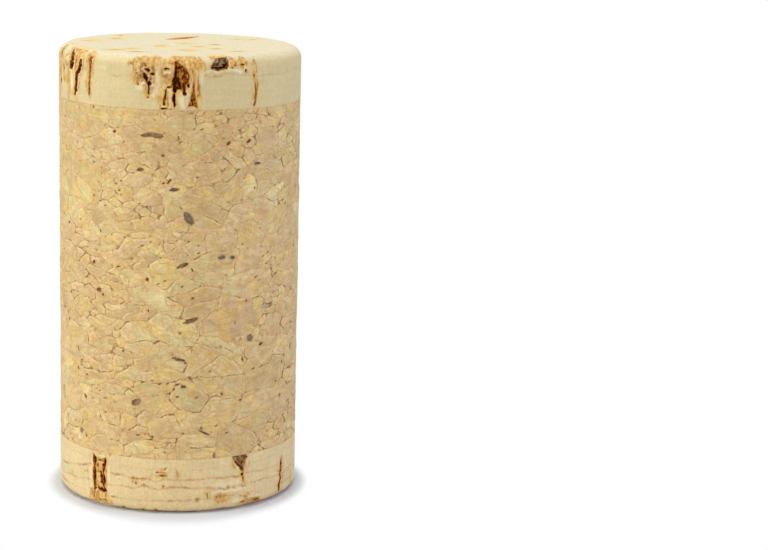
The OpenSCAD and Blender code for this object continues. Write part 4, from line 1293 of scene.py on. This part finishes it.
class Shader(Nodes):
    """A material and the nodes that drive its surface. Sizes are in mm."""

    def __init__(self, name, roughness, gloss):
        self.material = bpy.data.materials.new(name)
        self.material.use_nodes = True
        super().__init__(self.material.node_tree)
        self.surface = self.tree.nodes["Principled BSDF"].inputs
        self.surface["Roughness"].default_value = roughness
        self.surface["Specular IOR Level"].default_value = gloss

    def field(self, name):
        return self.node("Attribute", attribute_name=name).outputs

    def fields(self, *names):
        """The mesh's numbers of these names."""
        return [self.field(name)["Fac"] for name in names]

    def place(self):
        """Places on the object, in mm."""
        return self.scale(self.node("TexCoord").outputs["Object"], (1 / MM, 1 / MM, 1 / MM))

    def scale(self, vector, by):
        return self.node("VectorMath", vector, by, operation="MULTIPLY").outputs[0]

    def noise(self, vector, size, detail, roughness=0.55):
        """Noise from 0 to 1 in lumps of about that size."""
        return self.node("TexNoise", vector, None, 1 / size, detail, roughness).outputs["Fac"]

    def spread(self, value, lo, hi, to_lo=0.0, to_hi=1.0):
        """A value between lo and hi, moved to between to_lo and to_hi."""
        return self.node("MapRange", value, lo, hi, to_lo, to_hi).outputs[0]

    def patchy(self, vector, size, detail, lo, hi, to_lo=0.0, to_hi=1.0, roughness=0.55):
        """Noise between lo and hi, moved to between to_lo and to_hi."""
        return self.spread(self.noise(vector, size, detail, roughness), lo, hi, to_lo, to_hi)

    def cells(self, vector, size):
        """Distance to the edges of irregular cells of about that size."""
        made = self.node("TexVoronoi", vector, None, 1 / size, feature="DISTANCE_TO_EDGE")
        return made.outputs["Distance"]

    def warped(self, vector, size, amount):
        """A vector pushed about by noise."""
        push = self.node("TexNoise", vector, None, 1 / size).outputs["Color"]
        push = self.scale(push, (amount, amount, amount))
        return self.node("VectorMath", vector, push, operation="ADD").outputs[0]

    def ramp(self, value, *stops):
        """A colour that depends on a value, from (value, colour) stops."""
        made = self.node("ValToRGB", value)
        slots = made.color_ramp.elements
        while len(slots) < len(stops):
            slots.new(1.0)
        for slot, (at_value, colour) in zip(slots, stops):
            slot.position = at_value
            slot.color = tuple(linear(colour)) + (1.0,)
        return made.outputs[0]

    def mix(self, share, a, b, blend="MIX"):
        """Two colours mixed, b by that share. Each is a socket or three numbers up to 255."""
        made = self.tree.nodes.new("ShaderNodeMix")
        made.data_type = "RGBA"
        made.blend_type = blend
        self.plug(made.inputs[0], share)
        for socket, value in ((made.inputs[6], a), (made.inputs[7], b)):
            if isinstance(value, tuple):
                value = tuple(linear(value)) + (1.0,)
            self.plug(socket, value)
        return made.outputs[2]

    def shaded(self, colour, value):
        """A colour made lighter or darker, as cork is: it turns redder as it darkens."""
        tint = [self.math("POWER", value, power) for power in DARKENING]
        return self.mix(1.0, colour, self.node("CombineXYZ", *tint).outputs[0], "MULTIPLY")

    def finish(self, colour, dark, pit_gloss, lump):
        """Puts the colour on the surface, dulls its dark places and roughens it in lumps of
        that size. Returns the material."""
        self.plug(self.surface["Base Color"], colour)
        self.plug(self.surface["Specular IOR Level"], self.spread(dark, 0.1, 0.5, GLOSS, pit_gloss))
        made = self.node("Bump")
        made.inputs["Strength"].default_value = 1.0
        made.inputs["Distance"].default_value = BUMP
        self.plug(made.inputs["Height"], self.noise(self.place(), lump, 4.0, 0.7))
        self.plug(self.surface["Normal"], made.outputs[0])
        return self.material


def granule_material():
    """Agglomerated cork: its granules, the seams between them and its open gaps."""
    s = Shader("agglomerated_cork", 0.62, GLOSS)
    place = s.place()
    grain = s.field("grain")["Vector"]
    colour = s.field("colour")["Color"]
    off, strength, dark, grey, pale = s.fields("off", "strength", "dark", "grey", "pale")
    # Blotches and growth lines in each granule, some of it pinker and some yellower.
    cloud = s.patchy(grain, 0.9, 5.0, 0.34, 0.66, 0.88, 1.11, 0.65)
    slope = s.patchy(grain, 2.6, 1.0, 0.3, 0.7, 0.88, 1.12)
    lines = s.patchy(s.scale(grain, (0.25, 2.4, 1.0)), 0.6, 3.0, 0.36, 0.64, 0.91, 1.06)
    speck = s.patchy(place, 0.26, 3.0, 0.25, 0.75, 0.97, 1.03, 0.7)
    shade = s.times(s.times(cloud, lines), s.times(speck, slope))
    flat = s.scale(grain, (0.5, 1.4, 1.0))
    colour = s.mix(s.patchy(grain, 1.6, 3.0, 0.5, 0.62, 0.0, 0.7), colour, (224, 184, 100))
    colour = s.mix(s.patchy(flat, 0.9, 4.0, 0.5, 0.64, 0.0, 0.6), colour, (214, 168, 118))
    colour = s.mix(s.patchy(place, 0.4, 3.0, 0.5, 0.64, 0.0, 0.65), colour, (200, 188, 122))
    colour = s.shaded(colour, shade)
    crumbs = s.patchy(place, 3.0, 2.0, 0.42, 0.54)
    dots = s.patchy(place, 0.2, 2.0, 0.6, 0.7, roughness=0.6)
    colour = s.mix(s.times(dots, s.spread(crumbs, 0.0, 1.0, 0.3, 0.6)), colour, (166, 118, 70))
    # Thin lines inside the granules, more of them in some places.
    bent = s.warped(s.scale(grain, (0.7, 1.2, 1.0)), 0.6, 0.7)
    inner = s.spread(s.cells(bent, 1.25), 0.0, 0.1, 1.0, 0.0)
    inner = s.times(inner, s.patchy(place, 0.8, 2.0, 0.4, 0.58, 0.0, 0.7))
    tiny = s.spread(s.cells(bent, 0.62), 0.0, 0.12, 1.0, 0.0)
    tiny = s.times(s.times(tiny, crumbs), s.patchy(place, 0.55, 2.0, 0.4, 0.6, 0.0, 0.8))
    colour = s.mix(s.math("MAXIMUM", inner, tiny), colour, (190, 144, 90))
    # The seams: ragged lines that darken where they are strong, with a painted highlight
    # along each side. The openings' lips get a painted highlight too.
    fray = s.patchy(place, 0.13, 3.0, 0.2, 0.8, -0.9, 0.9, 0.6)
    breaks = s.patchy(place, 0.6, 3.0, 0.4, 0.62, 0.05, 1.25, 0.6)
    ragged = s.math("ADD", off, fray)
    inked = s.times(strength, breaks)
    lip_highlight = s.times(s.spread(ragged, 1.4, 4.4, 0.6, 0.0), s.spread(inked, 0.0, 0.3))
    # The painted highlight colour, beside the seams and on the openings' lips.
    colour = s.mix(s.math("MAXIMUM", lip_highlight, s.times(pale, 0.4)), colour, (236, 208, 148))
    fleck = s.times(s.patchy(place, 0.42, 2.0, 0.59, 0.67), s.spread(ragged, 2.0, 5.0, 0.8, 0.0))
    colour = s.mix(fleck, colour, (168, 108, 62))
    line = s.spread(ragged, 0.3, 2.3, 1.0, 0.0)
    ink = s.ramp(inked, (0.1, (196, 150, 92)), (0.4, (174, 124, 70)), (0.85, (122, 74, 38)))
    ink = s.mix(s.patchy(place, 2.0, 2.0, 0.56, 0.66, 0.0, 0.7), ink, (134, 110, 92))
    colour = s.mix(s.times(line, s.spread(inked, 0.02, 0.4, 0.35, 0.95)), colour, ink)
    # The gaps.
    mottle = s.noise(place, 0.22, 4.0, 0.7)
    brown = s.ramp(mottle, (0.36, (104, 48, 26)), (0.5, (150, 84, 50)), (0.62, (184, 128, 84)))
    dull = s.ramp(mottle, (0.36, (112, 92, 76)), (0.5, (132, 112, 92)), (0.62, (156, 132, 104)))
    colour = s.mix(s.spread(dark, 0.2, 0.75), colour, s.mix(grey, brown, dull))
    return s.finish(colour, dark, 0.05, 0.16)


def natural_material(name, light, dull, plain_z, pale_z, grain):
    """Cork cut in one piece. Its free end is paler: from the height plain_z to pale_z. grain
    is how strong its fine pattern is."""
    s = Shader(name, 0.6, GLOSS)
    place = s.place()
    ring, dark, ochre, pale, rough, grey = s.fields("ring", "dark", "ochre", "pale", "rough", "grey")
    # Plain cork: thin level layers, upright fibres and small specks.
    layers = s.patchy(s.scale(place, (0.16, 0.16, 1.5)), 0.9, 4.0, 0.35, 0.65, roughness=0.6)
    upright = s.scale(place, (1.0, 1.0, 0.12))
    base = s.mix(layers, dull, light)
    base = s.mix(s.patchy(place, 1.8, 5.0, 0.4, 0.7, 0.0, 0.6, 0.6), base, (200, 180, 136))
    height = s.node("SeparateXYZ", place).outputs[2]
    free = s.spread(height, plain_z, pale_z)
    base = s.mix(s.times(free, 0.8), base, (231, 223, 193))
    fine = s.patchy(place, 0.22, 3.0, 0.3, 0.7, 1 - 0.09 * grain, 1 + 0.08 * grain, 0.7)
    fibres = s.patchy(upright, 0.3, 3.0, 0.3, 0.7, 1 - 0.05 * grain, 1 + 0.05 * grain, 0.6)
    base = s.mix(s.patchy(place, 0.2, 3.0, 0.5, 0.62, 0.0, 0.6 * grain), base, (226, 180, 132))
    base = s.mix(s.patchy(place, 0.26, 3.0, 0.5, 0.64, 0.0, 0.6 * grain), base, (206, 200, 140))
    base = s.shaded(base, s.times(fine, fibres))
    drawn = s.scale(place, (1.0, 1.0, 0.6))
    dots = s.patchy(drawn, 0.24, 2.0, 0.66, 0.76, roughness=0.6)
    base = s.mix(s.times(dots, s.spread(free, 0.0, 1.0, 0.5, 0.15)), base, (172, 128, 80))
    # Ink for growth lines and glue lines, and on the lower disc for the painted shade at the foot of the rim.
    ring_and_shade_ink = s.ramp(s.noise(place, 0.7, 2.0), (0.35, (206, 160, 106)), (0.52, (190, 138, 82)),
                      (0.66, (142, 92, 50)))
    broken = s.patchy(place, 0.4, 3.0, 0.36, 0.52, 0.6, 1.0, 0.6)
    base = s.mix(s.times(s.spread(ring, 0.05, 0.75, 0.0, 0.95), broken), base, ring_and_shade_ink)
    # Ochre stains, in streaks that run along the cork. They are faint on the free end.
    streaks = s.noise(s.scale(place, (1.0, 1.0, 0.3)), 0.26, 4.0, 0.7)
    ochre_ink = s.ramp(streaks, (0.36, (158, 92, 18)), (0.45, (192, 134, 44)), (0.54, (210, 162, 72)),
                       (0.66, (224, 192, 120)))
    stained = s.times(s.spread(ochre, 0.05, 0.6), s.spread(streaks, 0.36, 0.64, 1.0, 0.75))
    flat = s.times(s.spread(height, pale_z - 0.1 * (pale_z - plain_z), pale_z), 0.8)
    colour = s.mix(stained, base, s.mix(flat, ochre_ink, (238, 212, 144)))
    # Broken-up cork, and painted highlights: pale patches and lines, and the openings' lips.
    mottle = s.noise(drawn, 0.25, 4.0, 0.7)
    rubble = s.ramp(mottle, (0.38, (72, 32, 10)), (0.46, (130, 80, 30)), (0.53, (176, 128, 58)),
                    (0.61, (206, 168, 94)), (0.7, (228, 206, 152)))
    torn = s.math("ADD", rough, s.spread(mottle, 0.35, 0.65, -0.2, 0.2))
    colour = s.mix(s.spread(torn, 0.25, 0.6, 0.0, 0.85), colour, rubble)
    colour = s.mix(s.times(pale, 0.75), colour, (242, 230, 188))
    # Pits: ochre where they are shallow, near black where they are deep.
    uneven = s.times(s.spread(mottle, 0.36, 0.64, 0.5, -0.5), s.spread(dark, 0.1, 0.75, 0.2, 1.0))
    pit = s.ramp(s.math("ADD", dark, uneven), (0.1, (210, 170, 102)), (0.36, (190, 128, 54)),
                 (0.6, (144, 76, 22)), (0.85, (82, 28, 6)))
    stone = s.ramp(s.noise(place, 0.4, 2.0), (0.4, (74, 50, 28)), (0.5, (134, 114, 82)),
                   (0.58, (188, 172, 132)))
    pit = s.mix(s.times(grey, s.spread(dark, 0.9, 0.7)), pit, stone)
    pit = s.mix(flat, pit, (216, 190, 144))
    colour = s.mix(s.spread(dark, 0.08, 0.3), colour, pit)
    return s.finish(colour, dark, 0.03, 0.14)


# ---------------------------------------------------------------- stage

WHITE = (1, 1, 1, 1)
# The floor's half width and how far it lies below the cork, in metres.
FLOOR_HALF = 2
FLOOR_DROP = 0.00002
# How far from the cork, in mm, the floor starts to fade to plain white and where it is all
# white, and how much sooner that is at the cork's sides than in front of it.
FLOOR_SHADE = 0.6
FLOOR_WHITE = 4.5
FLOOR_ASIDE = 2.0
# How brightly the white surroundings light the cork, where the camera sees them as 1.
WORLD_LIGHT = 0.31
# The lamps: name, place and size in metres, power in watts and colour. All point at one
# place on the cork's axis.
LAMPS = (
    ("key", (-0.56, -0.14, 0.15), 0.34, 2.05, (0.93, 0.98, 0.97)),
    ("front", (-0.06, -0.6, 0.2), 0.4, 1.07, (1.0, 0.98, 0.94)),
    ("fill", (0.56, -0.1, 0.15), 0.34, 1.1, (0.8, 0.915, 1.28)),
    ("top", (-0.03, 0.0, 0.6), 0.5, 2.2, (1.0, 1.0, 0.98)),
)
LAMP_GOAL = (0, 0, 0.024)
# The camera's yaw, pitch and roll in degrees, its place in metres, and its lens and sensor.
CAMERA_TURNS = (5.301, 11.559, 1.419)
CAMERA_PLACE = (0, -0.21965, 0.06626)
CAMERA_LENS = 105.56
CAMERA_SENSOR = 36


def floor_material():
    """Pale floor: it takes the cork's shadow close by, and is plain white further off."""
    s = Shader("floor", 0.9, 0.0)
    s.surface["Base Color"].default_value = (0.7, 0.72, 0.76, 1)
    glow = s.node("Emission", WHITE, 1.0).outputs[0]
    plain = s.tree.nodes["Principled BSDF"].outputs[0]
    away = s.node("VectorMath", s.place(), operation="LENGTH").outputs["Value"]
    aside = s.math("DIVIDE", s.node("SeparateXYZ", s.place()).outputs[0], away)
    aside = s.math("MULTIPLY_ADD", s.times(aside, aside), FLOOR_ASIDE, 1.0)
    off = s.times(s.math("SUBTRACT", away, CORK_R), aside)
    share = s.node("MapRange", off, FLOOR_SHADE, FLOOR_WHITE, 0.0, 1.0, interpolation_type="SMOOTHSTEP")
    white = s.node("MixShader", s.times(s.seen(), share.outputs[0]), plain, glow).outputs[0]
    s.plug(s.tree.nodes["Material Output"].inputs[0], white)
    return s.material


def area_light(name, place, size, power, colour):
    lamp = bpy.data.lights.new(name, "AREA")
    lamp.shape = "DISK"
    lamp.size = size
    lamp.energy = power
    lamp.color = colour
    holder = bpy.data.objects.new(name, lamp)
    holder.location = place
    holder.rotation_euler = (Vector(LAMP_GOAL) - Vector(place)).to_track_quat("-Z", "Y").to_euler()
    bpy.context.scene.collection.objects.link(holder)


def make_floor():
    mesh = bpy.data.meshes.new("floor")
    corners = [(x * FLOOR_HALF, y * FLOOR_HALF, 0) for x, y in SQUARE]
    mesh.from_pydata(corners, [], [(0, 1, 2, 3)])
    mesh.materials.append(floor_material())
    floor = bpy.data.objects.new("floor", mesh)
    floor.location.z = -FLOOR_DROP
    bpy.context.scene.collection.objects.link(floor)


def make_world():
    """Plain white surroundings that light the cork less than they show."""
    world = bpy.data.worlds.new("studio")
    bpy.context.scene.world = world
    world.use_nodes = True
    w = Nodes(world.node_tree)
    shade = w.tree.nodes["Background"]
    shade.inputs["Color"].default_value = WHITE
    shade.inputs["Strength"].default_value = WORLD_LIGHT
    white = w.node("Background", WHITE, 1.0)
    blend = w.node("MixShader", w.seen(), shade.outputs[0], white.outputs[0])
    w.plug(w.tree.nodes["World Output"].inputs[0], blend.outputs[0])


def make_camera():
    yaw, pitch, roll = (math.radians(a) for a in CAMERA_TURNS)
    ahead = Vector((math.sin(yaw) * math.cos(pitch), math.cos(yaw) * math.cos(pitch), -math.sin(pitch)))
    right = Vector((math.cos(yaw), -math.sin(yaw), 0))
    up = right.cross(ahead)
    rolled = right * math.cos(roll) + up * math.sin(roll)
    upright = up * math.cos(roll) - right * math.sin(roll)
    pose = Matrix((rolled, upright, -ahead)).transposed().to_4x4()
    pose.translation = CAMERA_PLACE
    data = bpy.data.cameras.new("camera")
    data.lens = CAMERA_LENS
    data.sensor_width = CAMERA_SENSOR
    data.clip_start = 0.01
    camera = bpy.data.objects.new("camera", data)
    camera.matrix_world = pose
    bpy.context.scene.collection.objects.link(camera)
    bpy.context.scene.camera = camera


# ---------------------------------------------------------------- the cork

def make_upper_disc():
    """The disc at the top, whose free end shows in the photo."""
    skin = Skin(BODY_TOP, CORK_H, UPPER_ROUND)
    openings = wall_openings(skin, UPPER_SHAPES, UPPER_CRACKS, UPPER_PITS)
    looks = Looks(openings, UPPER_LINES, UPPER_HIGHLIGHT_LINES, UPPER_OCHRE, UPPER_ROUGH, UPPER_HIGHLIGHTS,
                  face_openings(UPPER_PORES), UPPER_FACE_OCHRE, glue=0.3)
    material = natural_material("natural_cork_upper", (212, 192, 139), (204, 185, 130),
                                plain_z=CORK_H - 0.8, pale_z=CORK_H - 0.05, grain=0.75)
    make_disc("upper_disc_cork", "upper_disc", skin, looks, 31, material)


def make_lower_disc():
    """The disc at the foot, which the cork stands on."""
    skin = Skin(BODY_FOOT, 0, LOWER_ROUND)
    openings = wall_openings(skin, LOWER_SHAPES, LOWER_CRACKS, LOWER_PITS)
    looks = Looks(openings, LOWER_LINES, LOWER_HIGHLIGHT_LINES, LOWER_OCHRE, LOWER_ROUGH, LOWER_HIGHLIGHTS,
                  face_openings(lower_pores()), (), glue=0.1)
    material = natural_material("natural_cork_lower", (231, 203, 151), (224, 195, 142),
                                plain_z=0.12, pale_z=0.0, grain=1.2)
    make_disc("lower_disc_cork", "lower_disc", skin, looks, 41, material)


make_body(granule_material())
make_upper_disc()
make_lower_disc()

bpy.context.scene.view_settings.view_transform = "Standard"
make_floor()
make_world()
for lamp in LAMPS:
    area_light(*lamp)
make_camera()
